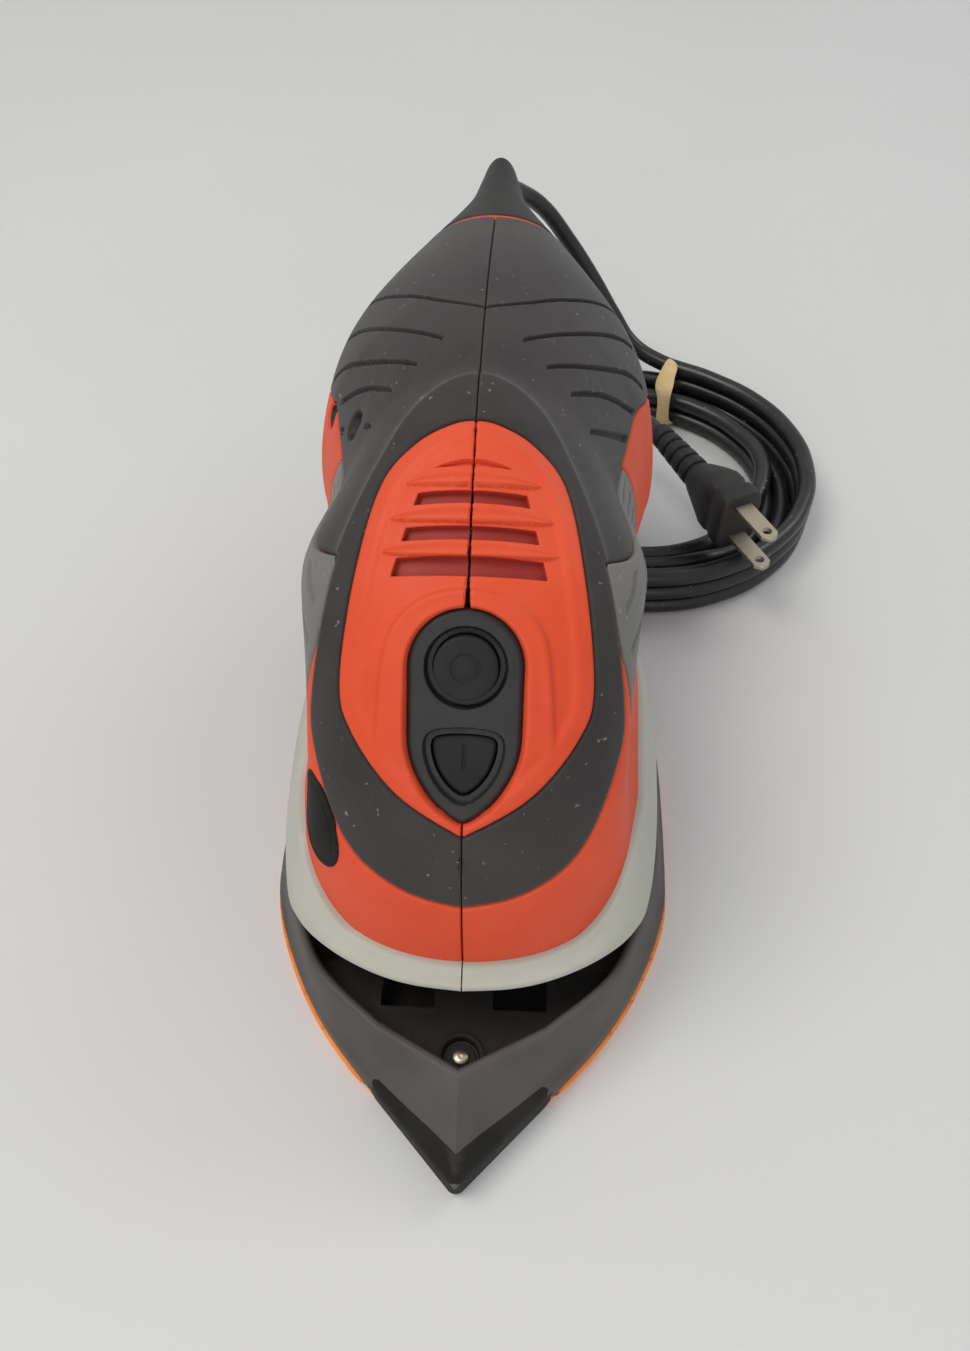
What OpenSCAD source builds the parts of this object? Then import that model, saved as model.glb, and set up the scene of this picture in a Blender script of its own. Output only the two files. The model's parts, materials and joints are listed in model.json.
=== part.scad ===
// Corded orbital detail sander with an iron-shaped base, a palm dome, a rear hump
// and a tail handle. Millimetres, +Z up, the pad rests on Z = 0, the tip points to -Y.

/* [Body] */
// Radius of the front dome in side view
dome_r = 95; // [94:0.5:96]
// Distance of the dome's crest behind the origin
crest_y = -5; // [-6:0.5:-4]
// Height of the dome's centre
dome_z = 42; // [42:0.5:43]
// Wall thickness of the housing shells
wall = 2.6; // [2.2:0.1:3]
// Thickness of the rubber overmould
rubber_t = 1.2; // [0.8:0.1:1.4]

/* [Base] */
// Height of the platen's upper rim
rim_z = 28; // [26:0.5:30]
// Thickness of the sanding pad
pad_t = 4; // [3:0.5:4]
// Thickness of the platen plate
plate_t = 5; // [4:0.5:5]

/* [Motor] */
// Distance of the motor axis from the origin, along Y
motor_y = -40; // [-41:0.5:-39]
// Offset of the eccentric pin, half the orbit diameter
orbit_e = 1; // [0.6:0.1:1.2]
// Radius of the motor shaft
shaft_r = 4; // [3.5:0.5:4]

/* [Switch] */
// Radius of the round off button
off_r = 6.8; // [6.4:0.1:7]

/* [Cord] */
// Diameter of the mains cord
cord_d = 6.4; // [6:0.1:7]
// Outer radius of the coiled cord
coil_r = 67; // [66:0.5:68]

/* [Hidden] */

eps = 0.01;
crest_z = dome_z + dome_r;
housing_z = 38;          // lower edge of the housing
shoulder_z = 75;         // height where the body walls start to flare
spine_fall = 0.00147;    // how fast the top line falls behind the crest
tail_lift = 0.0033;      // how fast the tail rises above that fall
tail_y = 80;             // where the tail starts to rise
tail_end = 142;          // rear end of the tail cap
tilt = 45;               // slope of the direction that the outlines are drawn along

// Colours
orange = [0.87, 0.27, 0.14];
rubber = [0.16, 0.155, 0.15];
plastic = [0.11, 0.11, 0.11];
shroud_grey = [0.66, 0.66, 0.6];
steel = [0.65, 0.66, 0.68];
copper = [0.72, 0.4, 0.2];
brass = [0.78, 0.66, 0.4];

// ---- shared functions -------------------------------------------------------

function smooth(t) = let(u = min(1, max(0, t))) u * u * (3 - 2 * u);

// Point on a Catmull-Rom curve between b and c
function between(a, b, c, d, t) =
    0.5 * (2 * b + (c - a) * t + (2 * a - 5 * b + 4 * c - d) * t * t
           + (3 * b - a - 3 * c + d) * t * t * t);

// Open curve through the points, with n steps between neighbours
function curve(p, n = 4) = [
    for (i = [0:len(p) - 2], k = [0:n - 1])
        between(p[max(0, i - 1)], p[i], p[i + 1], p[min(len(p) - 1, i + 2)], k / n),
    p[len(p) - 1]];

// Closed outline, symmetric about x = 0, from its right half
function mirrored(p) = concat(p, [for (i = [len(p) - 2:-1:1]) [-p[i][0], p[i][1]]]);

// ---- the body's surface -------------------------------------------------------

// Height of the top line at y, i below the surface
function top_z(y, i = 0) =
    y < crest_y ? dome_z + sqrt(max(0, pow(dome_r - i, 2) - pow(y - crest_y, 2)))
                : crest_z - i - spine_fall * pow(y - crest_y, 2) + tail_lift * pow(max(0, y - tail_y), 2);

// Distance below the top line, measured along the dome's radius
function depth_at(y, z, i) =
    y >= crest_y ? top_z(y, i) - z
                 : dome_r - i - (z > dome_z ? norm([y - crest_y, z - dome_z]) : crest_y - y);

// Half-width of the dome at a point of its side view
function dome_w(y, z, i = 0) =
    let (around = y >= crest_y ? 90 : atan2(max(0, z - dome_z), crest_y - y),
         round_depth = 22 + 40 * smooth((around - 55) / 33),
         d = min(1, max(0, depth_at(y, z, i) / round_depth)),
         side = 36 + 4 * smooth((y + 65) / 40),
         low = max(0, (shoulder_z - max(z, dome_z)) / 33),
         flare = (46 - side) * pow(low, 1.5) * smooth((y + 95) / 35),
         rear = y > -20 ? sqrt(max(0, 1 - pow((y + 20) / (30 - i), 2))) : 1)
    (side - i + flare) * sqrt(1 - pow(1 - d, 2)) * rear;

// Closed section of the dome at y, from the top line down to z_low
function dome_ring(y, i, z_low, m = 10) =
    let (zt = max(top_z(y, i), z_low + 1),
         side = [for (j = [0:m]) let (z = zt - (zt - z_low) * pow(j / m, 2)) [dome_w(y, z, i), y, z]])
    concat(side, [for (j = [m:-1:1]) [-side[j][0], side[j][1], side[j][2]]]);

// Half-width, height of the widest line and underside of the rear hump, against y
hump_w = [[-30, 37], [0, 40], [20, 44.5], [30, 47], [45, 47.5], [56, 46], [68, 41], [86, 31],
          [100, 22], [112, 15], [122, 10.5], [135, 7.5], [142, 6]];
hump_mid = [[-30, 75], [30, 75], [60, 80], [86, 92], [100, 99], [122, 103], [142, 105]];
hump_low = [[-30, 60], [30, 60], [60, 65], [86, 77], [100, 83], [122, 89], [142, 93]];

// Closed section of the hump at y
function hump_ring(y, i, n = 28) =
    let (w = lookup(y, hump_w) - i, mid = lookup(y, hump_mid), top = top_z(y, i),
         low = lookup(y, hump_low) + i)
    [for (k = [0:n - 1])
        let (a = 90 - 360 * k / n, c = cos(a), s = sin(a))
        s >= 0 ? [w * c, y, mid + (top - mid) * s]
               : [w * sign(c) * pow(abs(c), 0.6), y, mid - (mid - low) * pow(-s, 0.8)]];

// Solid lofted through closed sections with the same number of points
module loft(rings) {
    n = len(rings[0]);
    last = (len(rings) - 1) * n;
    polyhedron(
        points = [for (r = rings, p = r) p],
        faces = concat(
            [[for (k = [0:n - 1]) k]],
            [for (i = [0:len(rings) - 2], k = [0:n - 1])
                [i * n + k, (i + 1) * n + k, i * n + (k + 1) % n]],
            [for (i = [0:len(rings) - 2], k = [0:n - 1])
                [i * n + (k + 1) % n, (i + 1) * n + k, (i + 1) * n + (k + 1) % n]],
            [[for (k = [n - 1:-1:0]) last + k]]));
}

// One closed mesh from swept surfaces and what cuts them
module as_mesh() {
    resize([0, 0, 0]) children();
}

module dome(i = 0, z_low = housing_z) {
    front = crest_y - dome_r + i + 0.1;
    rear = 10 - i - 0.1;
    stations = 22;
    loft([for (k = [0:stations])
        dome_ring((front + rear) / 2 - (rear - front) / 2 * cos(180 * k / stations), i, z_low)]);
}

module hump(i = 0, rear = tail_end) {
    stations = 16;
    loft([for (k = [0:stations]) hump_ring(-30 + (rear + 30) * k / stations, i)]);
}

module body(i = 0, z_low = housing_z) {
    dome(i, z_low);
    hump(i, tail_end - i);
}

// ---- outlines -------------------------------------------------------

// Outlines seen along the tilted direction: [half-width, distance up the slope]
ring_line = [[0, -25.5], [14, -21.5], [26, -11.3], [33.4, 8.5], [33.6, 22.6], [27, 53.7],
    [17, 77.8], [9, 88], [0, 93.3]];
panel_line = [[0, -7.8], [14.3, 1.4], [24.2, 14.1], [27, 25], [24.1, 48.8], [19.6, 66.7], [14, 75],
    [0, 81.3]];
shroud_top = [[-106, 40], [-99, 40.5], [-96, 42], [-90, 49.5], [-85, 55], [-79, 56.5], [-68, 55],
              [-56, 53], [-26, 56], [12, 58]];

// Prism through the dome along the tilted direction
module tilted_prism(outline) {
    rotate([tilt, 0, 0]) translate([0, 0, 60])
    linear_extrude(height = 100)
    polygon(mirrored(curve(outline, 3)));
}

// Prism through the body along X, from an outline in side view, on one side or both
module side_prism(outline, side = 0) {
    translate([side > 0 ? 0 : -80, 0, 0])
    rotate([90, 0, 90])
    linear_extrude(height = side == 0 ? 160 : 80)
    polygon(outline);
}

// Space on one side of the centre plane, less half the seam
seam = 0.1;
module half_space(side) {
    translate([side > 0 ? seam / 2 : -200 - seam / 2, -200, -50]) cube([200, 400, 250]);
}

// Plane where the tail cap meets the housing, leaning forward at its top
cap_y = 100;
cap_z = 110;
cap_lean = 30;
module behind_collar(shift = 0) {
    translate([0, cap_y + shift, cap_z]) rotate([cap_lean, 0, 0]) translate([-60, 0, -60])
        cube([120, 100, 120]);
}

// Side view of the rubber on the hump; its lower edge is where the orange side panels start
hump_rubber = [[-46, 118], [-30, 109], [3, 105], [24, 105], [36, 100], [50, 92], [62, 82], [72, 66],
    [130, 66], [130, 150], [-46, 150]];
grip_line = [[-64, 88], [-58, 104], [-46, 115], [-30, 118], [-12, 113], [2, 100], [7, 76], [-16, 67],
    [-50, 70]];

module rubber_region() {
    difference() {
        union() {
            tilted_prism(ring_line);
            side_prism(hump_rubber);
        }
        tilted_prism(panel_line);
        translate([-100, -200, -50]) cube([200, 400, 105]);
    }
}

// ---- housing -------------------------------------------------------

// The switch plate's own frame: +Z out of the plate, +Y up the slope
switch_slope = 50;
switch_depth = 90.5;
module at_switch() {
    translate([0, crest_y - switch_depth * sin(switch_slope), dome_z + switch_depth * cos(switch_slope)])
    rotate([switch_slope, 0, 0]) children();
}

plate_w = 25;
plate_half_l = 23;
module plate_outline(grow = 0) {
    hull() {
        translate([0, plate_half_l - plate_w / 2]) circle(r = plate_w / 2 + grow, $fn = 32);
        translate([0, -4]) circle(r = plate_w / 2 - 0.5 + grow, $fn = 32);
        translate([0, -plate_half_l + 4]) circle(r = 4 + grow, $fn = 24);
    }
}

// Rib and slot rows on the panel: [angle up the dome, half-width]
slot_rows = [[68.6, 12.5], [63.6, 14.4], [59.2, 16.3]];
slot_h = 3;
module at_dome(angle) {
    translate([0, crest_y, dome_z]) rotate([90 - angle, 0, 0]) children();
}

// Rectangular way out for the dust, through the rear wall
module duct_hole() {
    translate([-8.7, -6, housing_z + 2.4]) cube([17.4, 30, 10.2]);
}

module housing(side) {
    color(orange)
    as_mesh()
    difference() {
        intersection() {
            body();
            half_space(side);
            union() {
                difference() {
                    body();
                    body(wall, housing_z - 10);
                }
                for (s = screw_seats)
                    at_screw(s) translate([0, 0, -60]) cylinder(r = boss_r, h = 104, $fn = 24);
            }
        }
        for (s = screw_seats)
            at_screw(s) translate([0, 0, -13.2]) cylinder(r = screw_r + 0.1, h = 20, $fn = 24);
        difference() {
            rubber_region();
            body(rubber_t);
        }
        difference() {
            side_prism(grip_line, side);
            body(rubber_t);
        }
        behind_collar();
        at_switch() translate([0, 0, -10]) linear_extrude(height = 30) plate_outline(0.3);
        for (row = slot_rows)
            at_dome(row[0]) translate([-row[1], -slot_h / 2, 80]) cube([2 * row[1], slot_h, 30]);
        duct_hole();
        for (s = screw_seats)
            at_screw(s) cylinder(r = head_r + 0.3, h = 60, $fn = 24);
    }
}

module housing_left() {
    housing(-1);
}

module housing_right() {
    housing(1);
}

// Housing screws go in from the left side: [y, z] of each, and the depth of its head
screw_seats = [[4, 114], [24, 102], [-86, 58], [78, 92]];
screw_r = 1.7;
head_r = 2.9;
boss_r = 5;
module at_screw(s) {
    translate([-14, s[0], s[1]]) rotate([0, -90, 0]) children();
}

module housing_screws() {
    color(steel)
    for (s = screw_seats)
        at_screw(s)
        difference() {
            union() {
                translate([0, 0, 0.02]) cylinder(r = head_r, h = 2.4, $fn = 32);
                translate([0, 0, -13]) cylinder(r = screw_r, h = 13.1, $fn = 32);
            }
            translate([0, 0, 1.4]) rotate([0, 0, 45]) cube([3.4, 0.9, 2.2], center = true);
            translate([0, 0, 1.4]) rotate([0, 0, -45]) cube([3.4, 0.9, 2.2], center = true);
        }
}

module overmold(side) {
    color(rubber)
    as_mesh()
    difference() {
        intersection() {
            body();
            half_space(side);
            rubber_region();
        }
        body(rubber_t);
        behind_collar(-2.5);
        for (s = screw_seats)
            at_screw(s) cylinder(r = head_r + 0.7, h = 60, $fn = 24);
    }
}

module overmold_left() {
    overmold(-1);
}

module overmold_right() {
    overmold(1);
}

// Ribbed finger grip at the waist
module grip(side) {
    color([0.3, 0.3, 0.3])
    as_mesh()
    difference() {
        intersection() {
            body();
            half_space(side);
            difference() {
                side_prism(grip_line, side);
                rubber_region();
            }
        }
        body(rubber_t);
        difference() {
            for (k = [0:5])
                translate([side * 42, -30, 71 + 7 * k]) rotate([8, 0, 0]) cube([20, 80, 1.2], center = true);
            body(0.7);
        }
    }
}

module grip_left() {
    grip(-1);
}

module grip_right() {
    grip(1);
}

// Plan outline of the shroud's outside at its lower edge, right half, from the nose to the rear
shroud_line = [[0, -104.8], [11, -103.8], [20, -101.5], [29, -97.4], [36.5, -92.3], [41, -87.4],
               [43.8, -82], [46.3, -70], [48, -52], [48.3, -26], [44, -8], [30, 5], [14, 11], [0, 12]];
shroud_gap = 0.5;        // how far the shroud's lip reaches in below the housing
// Grey skirt wrapped round the housing's lower edge
module shroud(side) {
    color(shroud_grey)
    as_mesh()
    difference() {
        intersection() {
            loft([for (k = [0:4])
                let (z = 36 + k * 6.5, grow = 1 - 0.03 * max(0, k - 0.4))
                [for (q = mirrored(curve(shroud_line, 3))) [q[0] * grow, (q[1] + 45) * grow - 45, z]]]);
            half_space(side);
            side_prism(concat([[12, 30], [-26, 33], [-54, 33], [-85, 34], [-106, 35]], shroud_top), side);
        }
        dome();
        dome(shroud_gap, housing_z - 10);
        duct_hole();
    }
}

module shroud_left() {
    shroud(-1);
}

module shroud_right() {
    shroud(1);
}

// Louvred cap that closes the tail
module tail_cap() {
    color(plastic)
    as_mesh()
    difference() {
        intersection() {
            hump();
            behind_collar(0.2);
        }
        hump(2.2, tail_end - 2.2);
        for (side = [-1, 1], k = [0:5])
            translate([side * 14, 105 + 5.2 * k, 109 - k]) rotate([cap_lean, 0, 0])
                cube([20, 2.2, 18], center = true);
        translate([0, tail_end, guard_z]) rotate([90, 0, 0])
            cylinder(r = 4.4, h = 10, center = true, $fn = 24);
    }
}

label_t = 0.35;
label_y = -81;
label_z = 70;
label_lean = 62;         // slope of the label's long axis
// Blank oval plate, low on the left of the dome
module side_label() {
    color(plastic)
    as_mesh()
    intersection() {
        difference() {
            dome(-label_t);
            dome();
        }
        side_prism([for (k = [0:15])
            let (a = 12 * cos(22.5 * k), b = 6 * sin(22.5 * k))
            [label_y + a * cos(label_lean) - b * sin(label_lean),
             label_z + a * sin(label_lean) + b * cos(label_lean)]], -1);
    }
}

// ---- switch -------------------------------------------------------

off_y = 10.5;
on_y = -9.7;
stem_y = 9;
button_gap = 0.25;
module shield(r, grow = 0) {
    hull() {
        translate([-r + 1, 4.5]) circle(r = 1.2 + grow, $fn = 16);
        translate([r - 1, 4.5]) circle(r = 1.2 + grow, $fn = 16);
        translate([-r + 1.6, 0]) circle(r = 1.2 + grow, $fn = 16);
        translate([r - 1.6, 0]) circle(r = 1.2 + grow, $fn = 16);
        translate([0, -6.5]) circle(r = 1.6 + grow, $fn = 16);
    }
}

module switch_bezel() {
    color(plastic)
    at_switch()
    difference() {
        translate([0, 0, -3]) linear_extrude(height = 3) plate_outline(-0.1);
        translate([0, off_y, -4]) cylinder(r = off_r + button_gap, h = 5, $fn = 64);
        translate([0, off_y, -1.4]) cylinder(r = 8.3, h = 2, $fn = 64);
        translate([0, on_y, -4]) linear_extrude(height = 5) shield(7, button_gap);
    }
}

module off_button() {
    color(plastic)
    at_switch() translate([0, off_y, 0]) {
        difference() {
            translate([0, 0, -4.5]) cylinder(r = off_r, h = 6.7, $fn = 64);
            translate([0, 0, 1.8]) cylinder(r = 2.6, h = 1, $fn = 48);
        }
        translate([0, stem_y - off_y, rocker_z + 1.6]) cylinder(r = 2, h = -4.4 - rocker_z - 1.6, $fn = 32);
    }
}

module on_button() {
    color(plastic)
    at_switch() translate([0, on_y, 0]) {
        translate([0, 0, -5.5]) linear_extrude(height = 4) shield(7);
        translate([0, -stem_y - on_y, rocker_z - 0.6]) cylinder(r = 2, h = -5.4 - rocker_z + 0.6, $fn = 32);
    }
}

rocker_z = -10.5;
rocker_angle = 12;
// See-saw under both buttons, drawn level and then turned to where the on side is down
module switch_rocker() {
    color([0.8, 0.78, 0.72])
    at_switch() translate([0, 0, rocker_z])
    difference() {
        union() {
            rotate([0, 90, 0]) cylinder(r = 2.6, h = 9, center = true, $fn = 48);
            translate([-3, 0, -0.9]) cube([6, stem_y + 1.6, 1.8]);
            rotate([rocker_angle, 0, 0]) translate([-3, -10.6, -0.9]) cube([6, 10.6, 1.8]);
        }
        rotate([0, 90, 0]) cylinder(r = 1.28, h = 12, center = true, $fn = 48);
    }
}

module rocker_pin() {
    color(steel)
    at_switch() translate([0, 0, rocker_z]) rotate([0, 90, 0])
        cylinder(r = 1.25, h = 19, center = true, $fn = 48);
}

module switch_body() {
    color([0.1, 0.1, 0.11])
    at_switch() translate([0, 0, rocker_z - 4.5])
    difference() {
        translate([-9.5, -13.5, 0]) cube([19, 27, 8]);
        translate([-7.3, -12, 1]) cube([14.6, 24, 12]);
        translate([0, 0, 4.5]) rotate([0, 90, 0]) cylinder(r = 1.25, h = 30, center = true, $fn = 48);
    }
}

// ---- motor and drive -------------------------------------------------------

module at_motor(z = 0) {
    translate([0, motor_y, z]) children();
}

module disc(r, z, h, bore = 0) {
    difference() {
        translate([0, 0, z]) cylinder(r = r, h = h, $fn = 96);
        if (bore > 0)
            translate([0, 0, z - 1]) cylinder(r = bore, h = h + 2, $fn = 96);
    }
}

fit = 0.03;           // radial clearance of a running fit
ball_r = 11;          // outside radius of every ball bearing
ball_h = 7;           // width of every ball bearing
core_z = 62;          // underside of the laminations
core_h = 24;          // height of the laminations

module stator_core() {
    color(steel)
    at_motor()
    difference() {
        intersection() {
            disc(24, core_z, core_h);
            translate([-21, -23, core_z - 1]) cube([42, 46, core_h + 2]);
        }
        disc(14.6, core_z - 1, core_h + 2);
        for (sx = [-1, 1], sy = [-1, 1])
            translate([sx * 14.5, sy * 11, core_z - 1]) cylinder(r = 3.6, h = core_h + 2, $fn = 32);
    }
}

module field_coils() {
    color(copper)
    at_motor()
    for (sy = [-1, 1], top = [0, 1])
        intersection() {
            disc(20.5, top == 1 ? core_z + core_h : core_z - 5, top == 1 ? 4 : 5, 15.2);
            translate([-16, sy > 0 ? 5 : -35, 0]) cube([32, 30, 200]);
        }
}

// Cover that closes the housing round the fan; the flexible posts hang from it
module bottom_cover() {
    rows = [for (k = [0:24]) -50 - 42 * cos(7.5 * k) + 5 * (1 - cos(7.5 * k))];
    side = [for (y = rows) [max(0.1, dome_w(y, housing_z, wall + 0.8) - 0.5), y]];
    color(plastic)
    difference() {
        translate([0, 0, housing_z]) linear_extrude(height = cover_t)
            polygon(concat(side, [for (k = [len(side) - 1:-1:0]) [-side[k][0], side[k][1]]]));
        at_motor(housing_z - 1) cylinder(r = 27.5, h = 10, $fn = 96);
    }
}

module armature_shaft() {
    color(steel)
    at_motor()
    translate([0, 0, 25]) cylinder(r = shaft_r, h = 89, $fn = 96);
}

module armature_core() {
    color([0.55, 0.4, 0.3])
    at_motor()
    union() {
        difference() {
            disc(14, core_z, core_h, shaft_r);
            for (k = [0:11])
                rotate([0, 0, 30 * k]) translate([13, 0, core_z - 1])
                    cylinder(r = 1.1, h = core_h + 2, $fn = 24);
        }
        disc(11, core_z - 4, 4 + eps, shaft_r);
        disc(11, core_z + core_h - eps, 4, shaft_r);
    }
}

comm_z = 92;
module commutator() {
    color(copper)
    at_motor()
    difference() {
        disc(9, comm_z, 12, shaft_r);
        for (k = [0:23])
            rotate([0, 0, 15 * k]) translate([8.4, -0.25, comm_z + 1.5]) cube([2, 0.5, 12]);
    }
}

brush_z = comm_z + 7;
module brush_holders() {
    color(brass)
    for (side = [-1, 1])
        at_motor(brush_z)
        difference() {
            translate([side * 17, 0, 0]) cube([13, 8, 8], center = true);
            translate([side * 16, 0, 0]) cube([16, 5.2, 5.2], center = true);
        }
}

module carbon_brushes() {
    color([0.12, 0.12, 0.12])
    for (side = [-1, 1])
        at_motor(brush_z)
        difference() {
            translate([side * 13, 0, 0]) cube([10, 5, 5], center = true);
            translate([0, 0, -5]) cylinder(r = 9.05, h = 10, $fn = 96);
        }
}

module brush_springs() {
    color(steel)
    for (side = [-1, 1])
        at_motor(brush_z)
        for (k = [0:2])
            translate([side * (18.9 + 1.6 * k), 0, 0]) rotate([0, 90, 0]) rotate_extrude($fn = 48)
                translate([1.6, 0]) circle(r = 0.45, $fn = 16);
}

module ball_bearing(z) {
    translate([0, 0, z])
    rotate_extrude($fn = 96)
    difference() {
        translate([shaft_r + fit, 0]) square([ball_r - shaft_r - fit, ball_h]);
        for (end = [0, 1])
            translate([6.2, end == 0 ? -eps : ball_h - 0.8]) square([2.8, 0.8 + eps]);
    }
}

upper_z = 106;
lower_z = 47;
module upper_bearing() {
    color(steel) at_motor() ball_bearing(upper_z);
}

module lower_bearing() {
    color(steel) at_motor() ball_bearing(lower_z);
}

module upper_bracket() {
    color(plastic)
    at_motor()
    difference() {
        union() {
            disc(13.5, upper_z - 1.5, 10);
            translate([-31, -4, upper_z - 1.5]) cube([62, 8, 5]);
            for (side = [-1, 1])
                translate([side * 17 - 6.5, -4, brush_z + 4]) cube([13, 8, upper_z - brush_z - 4]);
        }
        disc(ball_r, upper_z, 12);
        disc(9.6, upper_z - 5, 12);
    }
}

bracket_r = 30;
cover_t = 2.5;
module motor_bracket() {
    color(plastic)
    at_motor()
    difference() {
        union() {
            disc(bracket_r, lower_z - 1.5, 3);
            disc(14, lower_z - 1.5, 9);
            disc(bracket_r, housing_z + cover_t, lower_z - housing_z - cover_t, bracket_r - 2);
            for (sx = [-1, 1], sy = [-1, 1])
                translate([19 * sx, 12 * sy, lower_z]) cylinder(r = 2, h = core_z - lower_z, $fn = 32);
        }
        disc(ball_r, lower_z, 12);
        disc(9.6, lower_z - 5, 12);
        for (k = [0:5])
            rotate([0, 0, 60 * k]) translate([19.5, 0, lower_z - 5]) cylinder(r = 2.8, h = 10, $fn = 32);
        translate([-6.5, 18, housing_z]) cube([13, 20, lower_z - housing_z - 1.5]);
    }
}

fan_z = 36;
module fan() {
    color([0.75, 0.75, 0.72])
    at_motor()
    difference() {
        union() {
            disc(26, fan_z, 1.6);
            disc(7.5, fan_z, 8);
            for (k = [0:8])
                rotate([0, 0, 40 * k]) translate([7, -0.7, fan_z + 1]) rotate([0, 0, 12])
                    cube([18.4, 1.4, 7]);
        }
        disc(shaft_r, fan_z - 1, 12);
    }
}

pin_r = 4;
pin_z = 10;
// Counterweight with the eccentric pin below it
module eccentric() {
    color(steel)
    at_motor()
    difference() {
        union() {
            disc(9, 24, 11.9);
            intersection() {
                disc(19, 26, 8);
                translate([-20, -20, 25]) cube([40, 17, 10]);
            }
            translate([0, orbit_e, pin_z]) cylinder(r = pin_r, h = 14.5, $fn = 96);
            translate([0, orbit_e, 20.4]) cylinder(r = 6, h = 4, $fn = 64);
        }
        disc(shaft_r, 25, 12);
    }
}

module eccentric_bearing() {
    color(steel)
    at_motor()
    translate([0, orbit_e, 13])
    rotate_extrude($fn = 96)
    difference() {
        translate([pin_r + fit, 0]) square([ball_r - pin_r - fit, ball_h]);
        for (end = [0, 1])
            translate([6.2, end == 0 ? -eps : ball_h - 0.8]) square([2.8, 0.8 + eps]);
    }
}

// ---- base -------------------------------------------------------

// Plan of the base, right half, from the tip to the rear
base_line = [[0, -142], [23, -118], [35.5, -104], [45, -89], [52, -72], [54, -56], [54, -16], [50, -2],
             [40, 6], [20, 9], [0, 9.5]];
// Plan of the ridge along the skirt's upper rim
ridge_line = [[0, -123], [20.5, -112], [36, -98.5], [43.5, -84], [47.5, -70], [49.5, -56], [49.5, -16],
    [46, -4],
              [37, 3], [19, 5.5], [0, 6]];
tip_y = -118;

function base_plan(p) = mirrored(concat([p[0]], curve([for (i = [1:len(p) - 1]) p[i]], 3)));
function plan_at(p, z) = [for (q = p) [q[0], q[1], z]];
function mix_plan(a, b, t) = [for (k = [0:len(a) - 1]) a[k] * (1 - t) + b[k] * t];

outer_plan = base_plan(base_line);
ridge_plan = base_plan(ridge_line);
plate_top = pad_t + plate_t;
shoe_z = 1.2;            // underside of the replaceable tip

module tip_area(shift = 0) {
    translate([-60, -200, -5]) cube([120, 200 + tip_y + shift, 40]);
}

module sanding_pad() {
    color([0.92, 0.5, 0.18])
    difference() {
        union() {
            linear_extrude(height = shoe_z) polygon(outer_plan);
            difference() {
                linear_extrude(height = pad_t) polygon(outer_plan);
                tip_area();
            }
        }
        for (k = dust_holes)
            translate([k[0], k[1], -1]) cylinder(r = 4, h = pad_t + 2, $fn = 32);
    }
}

// Dust holes through the pad and the platen plate
dust_holes = [for (a = [0:60:300]) [31 * cos(a), -48 + 31 * sin(a)]];

leg_places = [for (sx = [-1, 1], y = [-74, -8]) [sx * 26, y]];

module platen() {
    color([0.29, 0.28, 0.27])
    difference() {
        union() {
            difference() {
                translate([0, 0, pad_t]) linear_extrude(height = plate_t) polygon(outer_plan);
                tip_area();
            }
            at_motor() translate([0, orbit_e, plate_top - eps]) cylinder(r = 15, h = 11.4, $fn = 96);
            for (p = leg_places)
                translate([p[0], p[1], plate_top - eps]) cylinder(r = 6, h = 3, $fn = 48);
            translate([0, -114, plate_top - eps]) cylinder(r = 5, h = 7, $fn = 48);
        }
        at_motor() translate([0, orbit_e, 13]) cylinder(r = ball_r, h = 20, $fn = 96);
        at_motor() translate([0, orbit_e, plate_top - 1]) cylinder(r = 6.5, h = 20, $fn = 96);
        for (k = dust_holes)
            translate([k[0], k[1], 0]) cylinder(r = 4, h = 12, $fn = 32);
        translate([0, -114, 0]) cylinder(r = 1.6, h = 30, $fn = 32);
        for (p = leg_places)
            translate([p[0], p[1], 0]) cylinder(r = 1.6, h = 30, $fn = 32);
    }
}

// Sloped skirt round the base, with a sunken floor behind the nose
module platen_skirt() {
    color([0.29, 0.28, 0.27])
    as_mesh()
    difference() {
        loft([
            plan_at(mix_plan(outer_plan, ridge_plan, 0.01), plate_top + 0.02),
            plan_at(mix_plan(outer_plan, ridge_plan, 0.28), plate_top + 3),
            plan_at(ridge_plan, rim_z)]);
        // hollow inside, leaving the wall and the nose floor
        difference() {
            loft([
                plan_at(mix_plan(outer_plan, ridge_plan, 0.25), plate_top - 1),
                plan_at([for (q = ridge_plan) [q[0] * 0.95, (q[1] + 45) * 0.96 - 45]], rim_z + 1)]);
            translate([-60, -140, 0]) cube([120, 47, 18]);
        }
        translate([0, -114, 0]) cylinder(r = 1.7, h = 40, $fn = 24);
        translate([0, -114, 15.5]) cylinder(r = 4.5, h = 40, $fn = 24);
        translate([0, -114, 0]) cylinder(r = 5.3, h = plate_top + 7.1, $fn = 24);
        for (side = [-1, 1])
            translate([side * 14, -95, 10]) cube([13, 14, 30], center = true);
    }
}

// Replaceable tip: a V-shaped shoe under the nose with a lip that stands proud of the skirt
module platen_tip() {
    color(plastic)
    intersection() {
        translate([0, 0, shoe_z]) linear_extrude(height = plate_top - shoe_z) polygon(outer_plan);
        tip_area(-0.2);
    }
}

module tip_screw() {
    color([0.8, 0.78, 0.7])
    translate([0, -114, 0])
    difference() {
        union() {
            translate([0, 0, plate_top + 7.1]) cylinder(r = 3, h = 1.8, $fn = 48);
            translate([0, 0, pad_t + 0.2]) cylinder(r = 1.55, h = plate_top + 3, $fn = 32);
        }
        translate([0, 0, 18]) rotate([0, 0, 20]) cube([4, 0.8, 2], center = true);
        translate([0, 0, 18]) rotate([0, 0, 110]) cube([4, 0.8, 2], center = true);
    }
}

module platen_screws() {
    color(steel)
    for (p = leg_places)
        translate([p[0], p[1], 0]) {
            translate([0, 0, pad_t + 0.1]) cylinder(r = 1.55, h = 12, $fn = 32);
        }
}

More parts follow.
